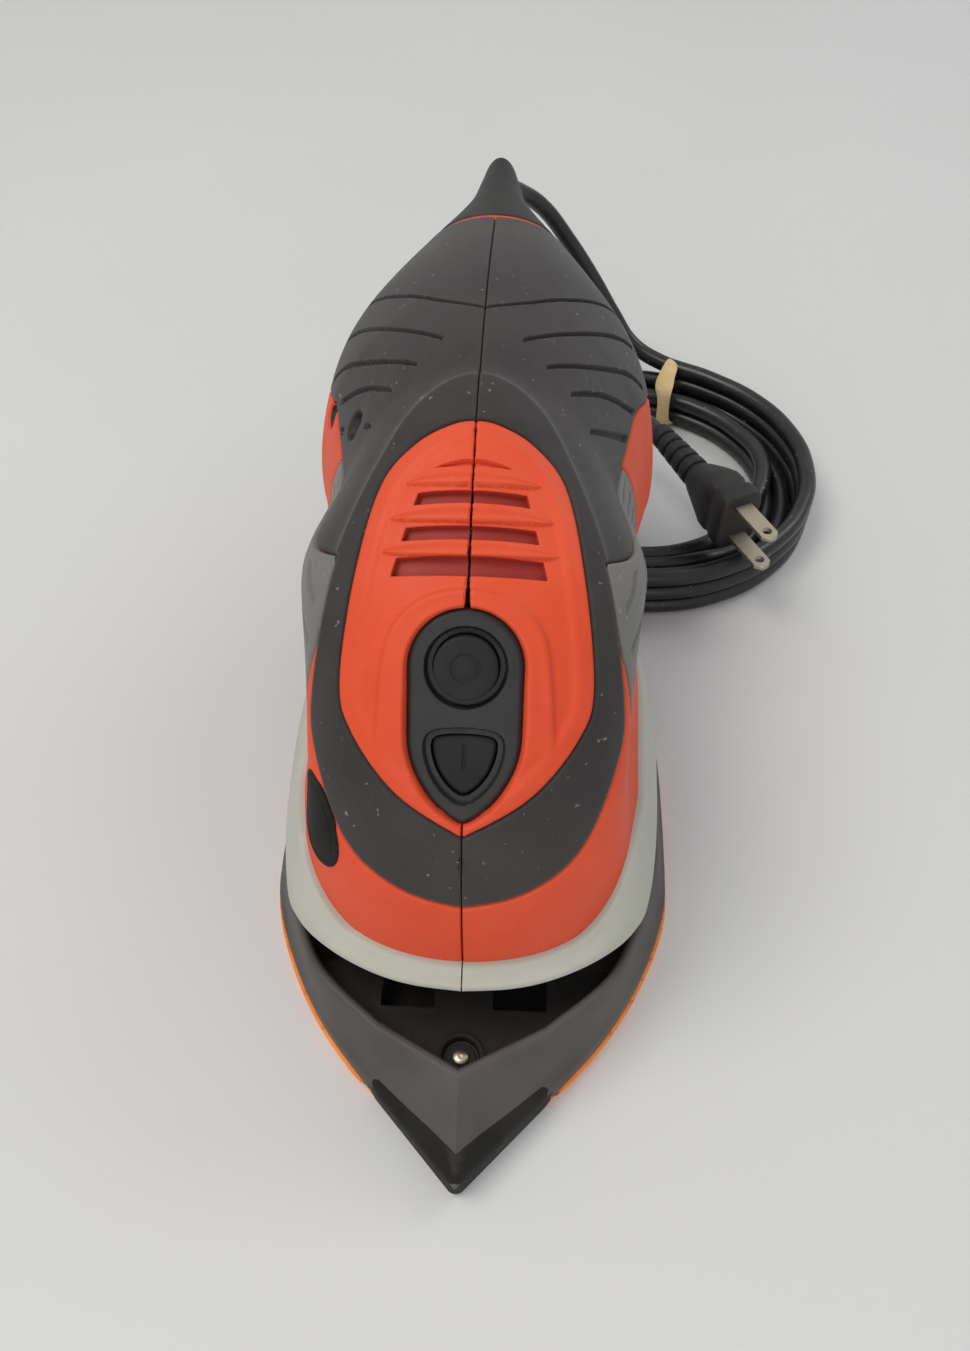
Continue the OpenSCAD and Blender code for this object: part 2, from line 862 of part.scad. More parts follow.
leg_top = housing_z;
module platen_legs() {
    color(rubber)
    for (p = leg_places)
        translate([p[0], p[1], 0])
        rotate_extrude($fn = 48)
        polygon([[1.6, plate_top + 3.05], [5.2, plate_top + 3.05], [5.2, plate_top + 6], [3.4, plate_top + 9],
                 [3.4, leg_top - 6], [5.2, leg_top - 3], [5.2, leg_top], [0, leg_top], [0, plate_top + 8],
                 [1.6, plate_top + 8]]);
}

// ---- dust collection -------------------------------------------------------

module dust_duct() {
    color(plastic)
    difference() {
        translate([-8.5, -9.5, housing_z + 2.6]) cube([17, 24, 9.8]);
        translate([-6.5, -12, housing_z + 4]) cube([13, 30, 7]);
    }
}

can_y = 15;
can_l = 42;
can_z = 33;
can_h = 25;
can_w = 44;
can_wall = 1.8;
can_r = 5;
lid_t = 2.2;
lid_y = can_y + can_l + 0.3;    // front face of the lid
pocket_z = can_z + can_h - 4;   // floor of the latch pocket
latch_y = can_y + 32;           // middle of the latch
latch_l = 12;
latch_w = 14;
hinge_r = 1;
hinge_z = can_z + 1.6;
knuckle_r = 1.9;
lug_r = 2.1;
lug_t = 3;
hinge_y = lid_y + knuckle_r;

// Box with rounded edges along Y, shrunk by i
module can_block(i, y, l) {
    translate([0, y + l, can_z + can_h / 2]) rotate([90, 0, 0])
    linear_extrude(height = l)
    hull()
        for (sx = [-1, 1], sz = [-1, 1])
            translate([sx * (can_w / 2 - can_r), sz * (can_h / 2 - can_r)]) circle(r = can_r - i, $fn = 32);
}

module dust_canister() {
    color([0.2, 0.2, 0.2])
    difference() {
        union() {
            difference() {
                can_block(0, can_y, can_l);
                can_block(can_wall, can_y + can_wall, can_l);
            }
            translate([-latch_w / 2 - 1.5, latch_y - latch_l / 2 - 1.5, pocket_z - 1.5])
                cube([latch_w + 3, latch_l + 3, 5.5]);
            for (side = [-1, 1])
                translate([side * (can_w / 2 - lug_t / 2) - lug_t / 2, 0, 0]) {
                    translate([0, lid_y - 1, can_z - 0.5]) cube([lug_t, hinge_y - lid_y + 1, 4]);
                    translate([0, hinge_y, hinge_z]) rotate([0, 90, 0])
                        cylinder(r = lug_r, h = lug_t, $fn = 48);
                }
        }
        translate([-latch_w / 2 - 0.3, latch_y - latch_l / 2 - 0.3, pocket_z])
            cube([latch_w + 0.6, latch_l + 0.6, 10]);
        translate([-6.5, can_y - 1, housing_z + 4]) cube([13, 5, 7]);
        translate([0, hinge_y, hinge_z]) rotate([0, 90, 0])
            cylinder(r = hinge_r, h = 60, center = true, $fn = 48);
    }
}

module lid_pin() {
    color(steel)
    translate([0, hinge_y, hinge_z]) rotate([0, 90, 0])
        cylinder(r = hinge_r, h = can_w, center = true, $fn = 48);
}

module canister_lid() {
    color([0.2, 0.2, 0.2])
    difference() {
        union() {
            intersection() {
                can_block(0, lid_y, lid_t);
                translate([-can_w / 2, lid_y - 1, hinge_z + 2.4]) cube([can_w, 10, can_h]);
            }
            translate([-can_w / 2 + 3.3, lid_y, hinge_z]) cube([can_w - 6.6, lid_t, 4]);
            translate([0, hinge_y, hinge_z]) rotate([0, 90, 0])
                cylinder(r = knuckle_r, h = can_w - 6.6, center = true, $fn = 48);
        }
        for (k = [-4:4])
            translate([k * 4 - 0.8, lid_y - 1, can_z + 7]) cube([1.6, 6, can_h - 12]);
        translate([0, hinge_y, hinge_z]) rotate([0, 90, 0])
            cylinder(r = hinge_r + fit, h = 60, center = true, $fn = 48);
    }
}

filter_t = 6;
module dust_filter() {
    color([0.85, 0.83, 0.76])
    translate([-can_w / 2 + 3, lid_y - filter_t, can_z + 4])
    difference() {
        cube([can_w - 6, filter_t, 12]);
        for (k = [1:8])
            translate([k * (can_w - 6) / 9 - 0.8, -1, 2]) cube([1.6, filter_t, 8]);
    }
}

latch_h = 3.4;
latch_z = pocket_z + 2.2;
module canister_latch() {
    color(orange)
    translate([-latch_w / 2, latch_y - latch_l / 2, latch_z])
    difference() {
        cube([latch_w, latch_l, latch_h]);
        for (k = [0:2])
            translate([-1, 2.6 + 3 * k, latch_h - 0.5]) cube([latch_w + 2, 1, 1]);
    }
}

spring_wire = 0.35;
module latch_spring() {
    color(steel)
    translate([0, latch_y, pocket_z])
    for (k = [0:2])
        translate([0, 0, spring_wire + k * (2.2 - 2 * spring_wire) / 2])
        rotate_extrude($fn = 48)
        translate([2.2, 0]) circle(r = spring_wire, $fn = 16);
}

// ---- wiring -------------------------------------------------------

module cord_clamp() {
    color(plastic)
    translate([0, 96, 103])
    difference() {
        cube([20, 8, 14], center = true);
        rotate([90, 0, 0]) cylinder(r = cord_d / 2, h = 20, center = true, $fn = 48);
        for (side = [-1, 1])
            translate([side * 7, 0, 0]) cylinder(r = 1.4, h = 20, center = true, $fn = 32);
    }
}

module clamp_screws() {
    color(steel)
    for (side = [-1, 1])
        translate([side * 7, 96, 98]) cylinder(r = 1.4, h = 13, $fn = 32);
}

module capacitor() {
    color([0.75, 0.6, 0.25])
    translate([-8, 40, 96]) cube([16, 12, 10]);
}

// ---- cord -------------------------------------------------------

// Route of the lead from the guard's end to the outer turn of the coil
lead_route = [[0, 172, 93], [1, 179.5, 90], [6, 188, 84.5], [15, 194.5, 75.5], [25, 197, 62],
    [36, 197, 46], [46, 194, 31], [54, 189, 21.5], [64, 183, 17.5]];
// Route from the coil's inner turn to the plug's boot
plug_route = [[11, 101.5, 10], [9.3, 112, 10], [12.5, 122.5, 11], [20, 130.5, 14], [30, 135, 18],
    [40.5, 134.5, 22.5], [50, 129.5, 27], [56.5, 121.5, 30], [60, 114, 31]];
coil_x = 53;
coil_y = 117;
coil_z = 0.8;
coil_h = 19;
coil_w = 24;
guard_z = 104;
guard_slope = 20;
band_angle = 72;
side_axis = [0.3, 0.3, 0.9];

function unit(v) = v / norm(v);
function heading(p, k) = unit(p[min(len(p) - 1, k + 1)] - p[max(0, k - 1)]);

// Round tube swept along a route, with a ring at each of its points
module tube(route, r, sides = 10) {
    path = curve(route, 2);
    loft([for (k = [0:len(path) - 1])
        let (t = heading(path, k), u = unit(cross(t, side_axis)), v = cross(t, u))
        [for (a = [0:sides - 1]) path[k] + r * (cos(360 * a / sides) * u + sin(360 * a / sides) * v)]]);
}

// Tapered guard at the tail, leaning down
module cord_guard() {
    color(plastic)
    translate([0, tail_end - 1, guard_z]) rotate([-90 - guard_slope, 0, 0])
    difference() {
        rotate_extrude($fn = 64)
        polygon(concat(
            [[cord_d / 2, -6], [4.3, -6], [4.3, 0.5], [6.4, 0.8]],
            [for (k = [0:5]) each [[6.4 - 0.35 * k, 3 + 5 * k], [5.2 - 0.3 * k, 3.6 + 5 * k],
                                   [5.2 - 0.3 * k, 5.4 + 5 * k], [6.1 - 0.35 * k, 6 + 5 * k]]],
            [[4, 34], [cord_d / 2, 34]]));
        translate([-10, -10, -10]) cube([20, 20, 0.1]);
    }
}

module power_cord() {
    color(plastic) {
        tube(lead_route, cord_d / 2);
        tube(plug_route, cord_d / 2);
    }
}

module cord_coil() {
    color(plastic)
    translate([coil_x, coil_y, coil_z])
    rotate_extrude($fn = 96)
    translate([coil_r - coil_w, 0])
    polygon([[3, 0], [coil_w - 3, 0], [coil_w, 4], [coil_w, coil_h - 5], [coil_w - 5, coil_h],
             [5, coil_h], [0, coil_h - 5], [0, 4]]);
}

// Rubber band looped round the coil
module cord_band() {
    color([0.8, 0.62, 0.4])
    translate([coil_x, coil_y, 0]) rotate([0, 0, band_angle])
    translate([coil_r - coil_w / 2, 0, coil_z + coil_h / 2])
    difference() {
        cube([coil_w + 1.6, 8, coil_h + 1.6], center = true);
        cube([coil_w, 10, coil_h], center = true);
    }
}

// The plug's frame: +X out of its face, lying on the coil on its side
plug_l = 25;
module at_plug() {
    translate([84.5, 67.5, coil_z + coil_h + 11]) rotate([0, 0, -63]) children();
}

module plug_body() {
    color(plastic)
    at_plug()
    difference() {
        union() {
            hull()
                for (sy = [-1, 1], sz = [-1, 1])
                    translate([-14, sy * 4.5, sz * 7.5]) rotate([0, 90, 0])
                        cylinder(r = 3.5, h = 14, $fn = 32);
            hull() {
                for (sy = [-1, 1], sz = [-1, 1])
                    translate([-14, sy * 4.5, sz * 7.5]) rotate([0, 90, 0])
                        cylinder(r = 3.5, h = 0.1, $fn = 32);
                translate([-plug_l, 0, 0]) rotate([0, 90, 0]) cylinder(r = 5.5, h = 0.1, $fn = 32);
            }
            translate([-plug_l - 28, 0, 0]) rotate([0, 90, 0])
                cylinder(r1 = 4.2, r2 = 5.5, h = 28.05, $fn = 48);
        }
        for (sz = [-1, 1])
            translate([-6, -3.175, sz * 6.35 - 0.75]) cube([10, 6.35, 1.5]);
        translate([-plug_l - 30, 0, 0]) rotate([0, 90, 0]) cylinder(r = cord_d / 2, h = 6, $fn = 48);
    }
}

module plug_blades() {
    color(brass)
    at_plug()
    for (sz = [-1, 1])
        difference() {
            translate([-6, -3.175, sz * 6.35 - 0.75]) cube([23.9, 6.35, 1.5]);
            translate([14, 0, sz * 6.35]) cylinder(r = 1.6, h = 4, center = true, $fn = 32);
            for (sy = [-1, 1])
                translate([17.9, sy * 3.175, sz * 6.35]) rotate([0, 0, 45])
                    cube([1.6, 1.6, 4], center = true);
        }
}

housing_left();
housing_right();
overmold_left();
overmold_right();
grip_left();
grip_right();
shroud_left();
shroud_right();
tail_cap();
switch_bezel();
off_button();
on_button();
switch_rocker();
rocker_pin();
switch_body();
housing_screws();
side_label();
stator_core();
field_coils();
armature_shaft();
armature_core();
commutator();
brush_holders();
carbon_brushes();
brush_springs();
upper_bearing();
lower_bearing();
upper_bracket();
motor_bracket();
bottom_cover();
fan();
eccentric();
eccentric_bearing();
platen();
platen_skirt();
platen_tip();
sanding_pad();
tip_screw();
platen_screws();
platen_legs();
dust_duct();
dust_canister();
canister_lid();
lid_pin();
dust_filter();
canister_latch();
latch_spring();
cord_clamp();
clamp_screws();
capacitor();
cord_guard();
power_cord();
cord_coil();
cord_band();
plug_body();
plug_blades();
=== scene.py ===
"""Orbital sander: visible shells, cord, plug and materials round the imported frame.

Lengths in the design functions are millimetres, as in the CAD model; make() turns them into metres.
"""
import json
import math

import bpy
import numpy as np
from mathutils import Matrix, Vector


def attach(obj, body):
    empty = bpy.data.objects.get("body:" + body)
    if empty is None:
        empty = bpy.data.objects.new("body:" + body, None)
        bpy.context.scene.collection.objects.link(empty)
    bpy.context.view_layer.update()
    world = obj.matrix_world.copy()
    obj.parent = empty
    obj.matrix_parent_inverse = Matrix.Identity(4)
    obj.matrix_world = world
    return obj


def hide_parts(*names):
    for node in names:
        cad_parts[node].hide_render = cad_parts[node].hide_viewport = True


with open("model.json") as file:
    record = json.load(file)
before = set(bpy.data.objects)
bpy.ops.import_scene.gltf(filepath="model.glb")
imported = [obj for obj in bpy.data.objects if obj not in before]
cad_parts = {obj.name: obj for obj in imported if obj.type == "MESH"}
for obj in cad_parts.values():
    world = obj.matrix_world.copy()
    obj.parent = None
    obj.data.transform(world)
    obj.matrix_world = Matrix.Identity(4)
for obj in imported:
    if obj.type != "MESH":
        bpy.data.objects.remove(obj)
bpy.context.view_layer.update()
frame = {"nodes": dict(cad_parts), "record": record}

MM = 0.001
scene = bpy.context.scene
world_root = scene.collection
SIDE_NAME = {-1: "left", 1: "right"}
ROOT = math.sqrt(0.5)


# ---- small tools -------------------------------------------------------

def smooth(t):
    """0 to 1 with flat ends."""
    u = np.clip(t, 0, 1)
    return u * u * (3 - 2 * u)


def curve(points, steps):
    """Open Catmull-Rom curve through the points, with so many steps between neighbours."""
    p = np.array(points, float)
    ext = np.vstack([p[:1], p, p[-1:]])
    out = []
    for i in range(len(p) - 1):
        a, b, c, d = ext[i:i + 4]
        for k in range(steps):
            t = k / steps
            out.append(0.5 * (2 * b + (c - a) * t + (2 * a - 5 * b + 4 * c - d) * t * t
                              + (3 * b - a - 3 * c + d) * t ** 3))
    out.append(p[-1])
    return np.array(out)


def unit(v):
    """Vectors scaled to length 1."""
    v = np.asarray(v, float)
    return v / np.maximum(np.linalg.norm(v, axis=-1, keepdims=True), 1e-12)


def make(name, points, faces, material, body="housing", smooth_angle=35):
    """A mesh object from millimetre points, riding on a body. Edges sharper than smooth_angle stay crisp."""
    mesh = bpy.data.meshes.new(name)
    mesh.from_pydata((np.asarray(points, float) * MM).tolist(), [], [list(f) for f in faces])
    mesh.validate()
    mesh.update()
    obj = bpy.data.objects.new(name, mesh)
    world_root.objects.link(obj)
    mesh.materials.append(material)
    mesh.polygons.foreach_set("use_smooth", [True] * len(mesh.polygons))
    mesh.set_sharp_from_angle(angle=math.radians(smooth_angle))
    if body:
        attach(obj, body)
    return obj


def tube_faces(rings, count, closed=True):
    """Quads between rings of count points each; in a closed tube the last ring joins the first."""
    return [(i * count + k, i * count + (k + 1) % count,
             (i + 1) % rings * count + (k + 1) % count, (i + 1) % rings * count + k)
            for i in range(rings if closed else rings - 1) for k in range(count)]


def loft_faces(rings, count):
    """Quads between rings, with flat end caps."""
    ends = [tuple(range(count))[::-1], tuple(range((rings - 1) * count, rings * count))]
    return tube_faces(rings, count, closed=False) + ends


def loft(name, rings, material, body="housing", smooth_angle=35):
    """A solid lofted through closed rings with the same number of points."""
    rings = [np.asarray(r, float) for r in rings]
    return make(name, np.vstack(rings), loft_faces(len(rings), len(rings[0])), material, body, smooth_angle)


def round_angles(count):
    """Evenly spaced angles of one full turn."""
    return np.linspace(0, 2 * np.pi, count, endpoint=False)


def lathe(profile, count):
    """Rings of points turned about the z axis from an (r, z) profile, ring after ring."""
    turn = round_angles(count)
    return np.vstack([np.stack([r * np.cos(turn), r * np.sin(turn), np.full(count, z)], 1) for r, z in profile])


def turned_solid(profile, count):
    """Points and faces of a closed turned shape whose profile starts and ends on the axis."""
    return lathe(profile, count), loft_faces(len(profile), count)


# ---- camera -------------------------------------------------------

cam_data = bpy.data.cameras.new("camera")
cam_data.sensor_width = 36
cam_data.sensor_fit = "AUTO"
cam_data.lens = 28.25
cam_data.clip_start = 0.01
cam_data.clip_end = 20
camera = bpy.data.objects.new("camera", cam_data)
camera.location = (0.010, -0.2078, 0.2731)
camera.rotation_euler = (math.radians(40), 0, math.radians(2.5))
world_root.objects.link(camera)
scene.camera = camera


# ---- materials -------------------------------------------------------

LOOKS = {}       # every finished material, by its name, which is also the name of its slot


class Mat:
    """A node material under construction: a Principled shader and the object's own coordinates."""

    def __init__(self, name, colour, rough, metallic=0.0, specular=0.5):
        self.name = name
        self.mat = bpy.data.materials.new(name)
        self.mat.use_nodes = True
        self.tree = self.mat.node_tree
        self.shader = self.tree.nodes["Principled BSDF"]
        self.shader.inputs["Base Color"].default_value = (*colour, 1)
        self.shader.inputs["Roughness"].default_value = rough
        self.shader.inputs["Metallic"].default_value = metallic
        self.shader.inputs["Specular IOR Level"].default_value = specular
        self.place = self.node("ShaderNodeTexCoord").outputs["Object"]
        self.colour = None
        self.height = None

    def node(self, kind, **settings):
        """A new node with these settings."""
        made = self.tree.nodes.new(kind)
        for key, value in settings.items():
            setattr(made, key, value)
        return made

    def link(self, a, b):
        """Joins an output to an input."""
        self.tree.links.new(a, b)

    def noise(self, scale, detail=4, rough=0.6, stretch=(1, 1, 1)):
        """Noise from 0 to 1; scale is in features per metre."""
        mapping = self.node("ShaderNodeMapping")
        mapping.inputs["Scale"].default_value = stretch
        self.link(self.place, mapping.inputs["Vector"])
        tex = self.node("ShaderNodeTexNoise")
        tex.inputs["Scale"].default_value = scale
        tex.inputs["Detail"].default_value = detail
        tex.inputs["Roughness"].default_value = rough
        self.link(mapping.outputs["Vector"], tex.inputs["Vector"])
        return tex.outputs["Fac"]

    def cells(self, scale):
        """Distance to the nearest of scattered points."""
        tex = self.node("ShaderNodeTexVoronoi", feature="F1")
        tex.inputs["Scale"].default_value = scale
        self.link(self.place, tex.inputs["Vector"])
        return tex.outputs["Distance"]

    def wave(self, scale, axis, distortion):
        """Bands across an axis."""
        tex = self.node("ShaderNodeTexWave", wave_type="BANDS", bands_direction=axis)
        tex.inputs["Scale"].default_value = scale
        tex.inputs["Distortion"].default_value = distortion
        self.link(self.place, tex.inputs["Vector"])
        return tex.outputs["Fac"]

    def ramp(self, source, low, high, a=(0, 0, 0), b=(1, 1, 1)):
        """Colour a below low, colour b above high."""
        ramp = self.node("ShaderNodeValToRGB")
        ramp.color_ramp.elements[0].position = low
        ramp.color_ramp.elements[1].position = high
        ramp.color_ramp.elements[0].color = (*a, 1)
        ramp.color_ramp.elements[1].color = (*b, 1)
        self.link(source, ramp.inputs["Fac"])
        return ramp.outputs["Color"]

    def tint(self, mask, colour, amount=1.0):
        """Lays a colour over the base where the mask is white."""
        mix = self.node("ShaderNodeMix", data_type="RGBA")
        if self.colour is None:
            mix.inputs[6].default_value = self.shader.inputs["Base Color"].default_value
        else:
            self.link(self.colour, mix.inputs[6])
        mix.inputs[7].default_value = (*colour, 1)
        scaled = self.node("ShaderNodeMath", operation="MULTIPLY")
        self.link(mask, scaled.inputs[0])
        scaled.inputs[1].default_value = amount
        self.link(scaled.outputs[0], mix.inputs[0])
        self.colour = mix.outputs[2]
        return self

    def vary_rough(self, source, low, high):
        """Roughness from low to high with the source."""
        span = self.node("ShaderNodeMapRange")
        span.inputs["To Min"].default_value = low
        span.inputs["To Max"].default_value = high
        self.link(source, span.inputs["Value"])
        self.link(span.outputs["Result"], self.shader.inputs["Roughness"])
        return self

    def bump(self, source, depth, strength=1.0):
        """Adds relief; depth is in metres."""
        bump = self.node("ShaderNodeBump")
        bump.inputs["Strength"].default_value = strength
        bump.inputs["Distance"].default_value = depth
        self.link(source, bump.inputs["Height"])
        if self.height is not None:
            self.link(self.height, bump.inputs["Normal"])
        self.height = bump.outputs["Normal"]
        return self

    def done(self):
        """Connects what was built up and returns the material."""
        if self.colour is not None:
            self.link(self.colour, self.shader.inputs["Base Color"])
        if self.height is not None:
            self.link(self.height, self.shader.inputs["Normal"])
        LOOKS[self.name] = self.mat
        return self.mat


def edge_mask(m, low=0.53, high=0.62):
    """White along raised edges."""
    return m.ramp(m.node("ShaderNodeNewGeometry").outputs["Pointiness"], low, high)


def moulded(name, colour, light, dark, rough=0.5, grain=0.00002, edge=0.25, specular=0.45):
    """Injection-moulded plastic: spark-eroded grain, faint flow marks and rubbed edges."""
    m = Mat(name, colour, rough, specular=specular)
    m.tint(m.ramp(m.noise(28, 3), 0.42, 0.7), light, 0.35)
    m.tint(m.ramp(m.noise(60, 5, 0.7), 0.5, 0.75), dark, 0.25)
    m.tint(edge_mask(m), light, edge)
    m.vary_rough(m.noise(150, 4), rough - 0.08, rough + 0.1)
    m.bump(m.noise(2600, 2, 0.5), grain)
    m.bump(m.noise(35, 2), 0.00006, 0.5)
    return m.done()


def rubbery(name, colour, light, dust, rough=0.75, specks=0.5):
    """Soft-touch rubber: matt, with fine tooth, handling marks and specks of dust."""
    m = Mat(name, colour, rough, specular=0.3)
    m.shader.inputs["Sheen Weight"].default_value = 0.12
    m.shader.inputs["Sheen Roughness"].default_value = 0.5
    m.tint(m.ramp(m.noise(22, 4), 0.4, 0.75), light, 0.5)
    m.tint(edge_mask(m, 0.52, 0.6), light, 0.6)
    m.tint(m.ramp(m.cells(900), 0.05, 0.1, (1, 1, 1), (0, 0, 0)), dust, specks * 0.5)
    m.tint(m.ramp(m.noise(520, 2, 0.4), 0.71, 0.76), dust, specks)
    m.vary_rough(m.noise(90, 3), rough - 0.1, rough + 0.08)
    m.bump(m.noise(3200, 2, 0.5), 0.00003)
    return m.done()


def metal(name, colour, rough, scale=600, stretch=(1, 1, 12), dark=(0.2, 0.2, 0.2)):
    """Machined or stamped metal with fine directional marks."""
    m = Mat(name, colour, rough, metallic=1.0)
    m.tint(m.ramp(m.noise(90, 4), 0.5, 0.8), dark, 0.25)
    m.vary_rough(m.noise(scale, 3, 0.6, stretch), rough - 0.1, rough + 0.14)
    m.bump(m.noise(scale, 3, 0.6, stretch), 0.000012)
    return m.done()


def foam():
    """Backing foam with its open cells; the pits of the cells are darkened with painted shade."""
    m = Mat("pad_foam", (0.82, 0.22, 0.035), 0.85, specular=0.25)
    # darker orange in the cells' pits: painted shade in the open pores
    m.tint(m.ramp(m.cells(1500), 0.05, 0.45, (1, 1, 1), (0, 0, 0)), (0.5, 0.11, 0.02), 0.55)
    m.tint(m.ramp(m.noise(60, 4), 0.45, 0.7), (0.9, 0.34, 0.08), 0.5)
    m.bump(m.cells(1500), 0.0002, 0.7)
    return m.done()


def windings():
    """Enamelled copper wire, wound in rows, with painted shade in the grooves between the turns."""
    m = Mat("copper_wire", (0.6, 0.23, 0.09), 0.32, metallic=0.9)
    # darker copper in the grooves between the turns: painted shade
    m.tint(m.ramp(m.wave(260, "Z", 0.6), 0.0, 0.5, (1, 1, 1), (0, 0, 0)), (0.16, 0.05, 0.02), 0.8)
    m.bump(m.wave(260, "Z", 0.6), 0.0003)
    return m.done()


def laminated():
    """A stack of thin steel sheets."""
    m = Mat("armature_stack", (0.42, 0.42, 0.43), 0.42, metallic=0.9)
    m.tint(m.ramp(m.wave(320, "Z", 0.1), 0.3, 0.6, (1, 1, 1), (0, 0, 0)), (0.12, 0.12, 0.13), 0.7)
    m.tint(m.ramp(m.noise(110, 4), 0.55, 0.75), (0.3, 0.2, 0.13), 0.35)
    m.bump(m.wave(320, "Z", 0.1), 0.00012)
    return m.done()


def woven_filter():
    """Pleated filter paper with its fibres."""
    m = Mat("filter_paper", (0.78, 0.74, 0.62), 0.9, specular=0.2)
    m.tint(m.ramp(m.noise(700, 5, 0.7, (1, 1, 5)), 0.45, 0.7), (0.55, 0.5, 0.4), 0.6)
    m.tint(m.ramp(m.noise(50, 3), 0.5, 0.75), (0.5, 0.42, 0.3), 0.4)
    m.bump(m.noise(900, 4, 0.7, (1, 1, 5)), 0.00015)
    return m.done()


def stretched_rubber():
    """Old natural rubber band with stretch lines and a stained stretch."""
    m = Mat("band_rubber", (0.6, 0.43, 0.2), 0.55, specular=0.4)
    m.shader.inputs["Subsurface Weight"].default_value = 0.1
    m.shader.inputs["Subsurface Radius"].default_value = (0.002, 0.001, 0.0005)
    m.tint(m.ramp(m.noise(160, 4, 0.6, (1, 1, 4)), 0.45, 0.7), (0.72, 0.56, 0.32), 0.6)
    m.tint(m.ramp(m.noise(45, 2), 0.6, 0.7), (0.3, 0.1, 0.05), 0.7)
    m.bump(m.noise(700, 3, 0.6, (1, 1, 6)), 0.00008)
    return m.done()


def capacitor_skin():
    """Yellow wound film under clear tape."""
    m = Mat("capacitor_film", (0.8, 0.6, 0.1), 0.3, specular=0.5)
    m.tint(m.ramp(m.noise(120, 3), 0.4, 0.7), (0.65, 0.42, 0.05), 0.5)
    m.shader.inputs["Coat Weight"].default_value = 0.5
    m.bump(m.wave(300, "X", 0.2), 0.00005)
    return m.done()


def glossy_cord():
    """PVC sheath: glossy, slightly orange-peeled, scuffed here and there."""
    m = Mat("cord_rubber", (0.0105, 0.0105, 0.011), 0.3, specular=0.5)
    m.tint(m.ramp(m.noise(55, 4), 0.5, 0.75), (0.03, 0.03, 0.032), 0.6)
    m.tint(m.ramp(m.noise(700, 2, 0.4), 0.72, 0.76), (0.35, 0.34, 0.32), 0.5)
    m.vary_rough(m.noise(110, 4), 0.2, 0.48)
    m.bump(m.noise(260, 2, 0.5), 0.00012, 0.5)
    return m.done()


ORANGE = moulded("orange_shell", (0.66, 0.066, 0.020), (0.76, 0.115, 0.045), (0.52, 0.036, 0.012), 0.52,
                 0.00002, 0.35, 0.3)
RUBBER = rubbery("overmold_rubber", (0.025, 0.0215, 0.0205), (0.065, 0.062, 0.058), (0.3, 0.28, 0.25))
GRIP = rubbery("grip_rubber", (0.14, 0.135, 0.13), (0.2, 0.195, 0.18), (0.4, 0.38, 0.35), 0.7, 0.3)
GREY = moulded("grey_shell", (0.42, 0.42, 0.36), (0.52, 0.52, 0.46), (0.33, 0.33, 0.28), 0.48, 0.00002, 0.25)
BLACK = moulded("black_plastic", (0.017, 0.016, 0.0155), (0.038, 0.036, 0.034), (0.008, 0.008, 0.008), 0.52,
                0.00003, specular=0.35)
PLATEN = moulded("platen_plastic", (0.052, 0.046, 0.042), (0.12, 0.11, 0.10), (0.045, 0.041, 0.037), 0.55,
                 0.00003, 0.5)
TIP = moulded("tip_plastic", (0.007, 0.0065, 0.006), (0.045, 0.042, 0.039), (0.007, 0.007, 0.006), 0.62,
              0.00004, 0.5, 0.15)
rubbery("leg_rubber", (0.02, 0.02, 0.02), (0.04, 0.04, 0.04), (0.3, 0.28, 0.25), 0.8, 0.4)
moulded("rocker_plastic", (0.62, 0.58, 0.48), (0.7, 0.67, 0.58), (0.5, 0.45, 0.36), 0.45)
moulded("fan_plastic", (0.02, 0.022, 0.025), (0.05, 0.05, 0.055), (0.01, 0.01, 0.01), 0.45)
moulded("canister_plastic", (0.03, 0.03, 0.032), (0.06, 0.06, 0.06), (0.015, 0.015, 0.015), 0.4)
moulded("carbon", (0.018, 0.018, 0.019), (0.06, 0.06, 0.06), (0.008, 0.008, 0.008), 0.6, 0.00006, 0.5)
SCREW = metal("screw_steel", (0.62, 0.56, 0.44), 0.36)
metal("motor_steel", (0.6, 0.61, 0.63), 0.28, 800, (1, 1, 0.2))
metal("brass_parts", (0.68, 0.5, 0.22), 0.32)
BLADE = metal("blade_metal", (0.46, 0.41, 0.32), 0.42, 500, (1, 1, 3), (0.2, 0.165, 0.11))
# darker orange for the vent slots' walls and the plates behind them: painted shade inside the slots
ORANGE_PAINTED_SHADE = moulded("orange_inside", (0.32, 0.022, 0.012), (0.42, 0.035, 0.018), (0.2, 0.013, 0.008), 0.6)
BUTTON = moulded("button_plastic", (0.012, 0.0115, 0.011), (0.04, 0.038, 0.036), (0.006, 0.006, 0.006), 0.62,
                 0.00003, 0.5, 0.25)
NOSE = moulded("nose_plastic", (0.016, 0.0145, 0.013), (0.034, 0.031, 0.028), (0.008, 0.007, 0.006), 0.6,
               0.00003, 0.3, 0.2)
FOAM = foam()
windings()
laminated()
woven_filter()
BAND = stretched_rubber()
capacitor_skin()
CORD = glossy_cord()


# ---- floor and light -------------------------------------------------------

def floor_material():
    """Nearly white, with faint clouding."""
    m = Mat("pale_floor", (0.60, 0.60, 0.59), 0.6, specular=0.3)
    m.tint(m.ramp(m.noise(3, 2), 0.4, 0.7), (0.64, 0.64, 0.63), 0.5)
    return m.done()


def floor():
    """A pale floor that turns up into a wall far behind."""
    near, far, bend, wall, half = -1200, 900, 120, 1400, 2500
    rows = [(near, 0), (far - bend, 0)]
    rows += [(far - bend + bend * math.sin(a), bend - bend * math.cos(a))
             for a in np.linspace(0.15, math.pi / 2, 10)]
    rows.append((far, wall))
    points = [(x, y, z) for y, z in rows for x in (-half, half)]
    faces = [(2 * i, 2 * i + 1, 2 * i + 3, 2 * i + 2) for i in range(len(rows) - 1)]
    make("floor", points, faces, floor_material(), body=None)


